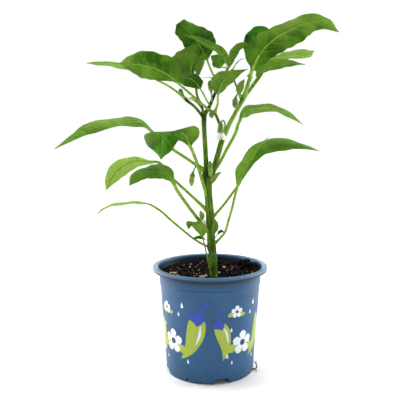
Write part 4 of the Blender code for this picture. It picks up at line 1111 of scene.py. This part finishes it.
PETAL_REACH = (2.0, 3.3, 4.7, 6.2, 7.6, 8.3)  # along a lobe, and below it how far it drops
PETAL_DROP = (-0.3, 1.0, 3.0, 5.4, 7.2, 8.2)
bpy.ops.object.select_all(action="DESELECT")
corolla = new_grid(96, 14)
for vert in corolla.data.vertices:
    turn = math.pi * (vert.co.x + 1) + math.pi / 6
    lobe = abs(math.cos(PETALS / 2 * turn)) ** 1.3
    t = (vert.co.y + 1) / 2 * (0.5 + 0.5 * lobe)
    cupped = 0.35 * t * (1 - lobe)
    reach = between(PETAL_REACH, t) - cupped
    vert.co = place(FLOWER_X + reach * math.cos(turn), FLOWER_Y + reach * math.sin(turn),
                    FLOWER_TOP - between(PETAL_DROP, t) - cupped)
weld(0.01)
apply_modifier(corolla, "SOLIDIFY", thickness=0.3 * MM, offset=0)
corolla.data.materials.append(petal_material("white_petals", "F2F1DC", "FFFFF8"))
tie(corolla, "flower_petals", ["flower_corolla"], smooth=60)

# Anthers: blue-grey sacs dusted with pale yellow pollen, round a green-white style.
pollen = mottled_material("dusted_anthers", 0.6, 3.0, ((0.35, "8A8C6A"), (0.6, "DDD083")),
                          Roughness=0.8, IOR=1.4)
STYLE = ((268.4, 0.8), (264, 0.4), (260.6, 0.35), (259.9, 0.6))  # height and radius
ANTHER = ((0.9, 268.2, 0.25), (1.5, 265.4, 0.25), (1.8, 264.4, 0.6), (1.7, 262.6, 0.65), (1.5, 261.4, 0.3))
parts = [tube([(FLOWER_X, FLOWER_Y, *point) for point in STYLE], steps=5, sides=10)]
for k in range(PETALS):
    c, s = math.cos(math.tau * k / PETALS), math.sin(math.tau * k / PETALS)
    anther = [(FLOWER_X + reach * c, FLOWER_Y + reach * s, z, radius) for reach, z, radius in ANTHER]
    parts.append(tube(anther, steps=5, sides=10))
anthers = join(*parts)
anthers.data.materials.append(pollen)
tie(anthers, "flower_anthers", ["flower_stamens"], smooth=60)

# ---- Floor, light and camera -----------------------------------------------------------------------------
# A plain pale floor that runs out to an even white surround. The light is soft and comes mostly from above
# and from both sides behind the plant, so leaves seen from above are bright and those seen from below deep.

studio, _, _ = new_material("pale_floor", Roughness=0.8, Base_Color=srgb("FCFCFA"))
bpy.ops.object.select_all(action="DESELECT")
bpy.ops.mesh.primitive_plane_add(size=40, location=(0, 0, 0))
floor = bpy.context.object
floor.name = "floor"
floor.data.materials.append(studio)
floor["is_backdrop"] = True

SEEN, LIT = 1.0, 0.22  # how bright the surround looks, and how brightly it lights the plant
world = bpy.data.worlds.new("studio_white")
world.use_nodes = True
seen = add_node(world, "LightPath").outputs["Is Camera Ray"]
strength = rescale(world, seen, after=(LIT, SEEN))
fill_sockets(world.node_tree.nodes["Background"], {"Color": (1, 1, 1, 1), "Strength": strength})
bpy.context.scene.world = world
bpy.context.scene.view_settings.view_transform = "Standard"

bpy.ops.object.light_add(type="SUN", rotation=(math.radians(-14), math.radians(-5), 0))
overhead = bpy.context.object
overhead.name = "overhead"
overhead.data.angle, overhead.data.energy = math.radians(60), 3.3
PANELS = (("panel_left", (-0.85, 0.25, 0.40), 0.7, 9), ("panel_right", (0.95, 0.30, 0.45), 0.7, 8),
          ("fill_front", (0.6, -1.3, 0.8), 0.8, 2.2))  # place and size in m, and watts
AIM = Vector((0, 0, 0.2))
for name, stands, size, power in PANELS:
    bpy.ops.object.light_add(type="AREA", location=stands)
    lamp = bpy.context.object
    lamp.name = name
    lamp.data.size, lamp.data.energy = size, power
    lamp.rotation_euler = (AIM - Vector(stands)).to_track_quat("-Z", "Y").to_euler()

EYE, LOOK_DOWN = (POT_X - 0.0023, -0.60, 0.258), 6.94  # m, and degrees
bpy.ops.object.camera_add(location=EYE, rotation=(math.radians(90 - LOOK_DOWN), 0, 0))
camera = bpy.context.object
camera.data.lens, camera.data.sensor_width = 46.6, 36
camera.data.clip_start = 0.01
bpy.context.scene.camera = camera

low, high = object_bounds()
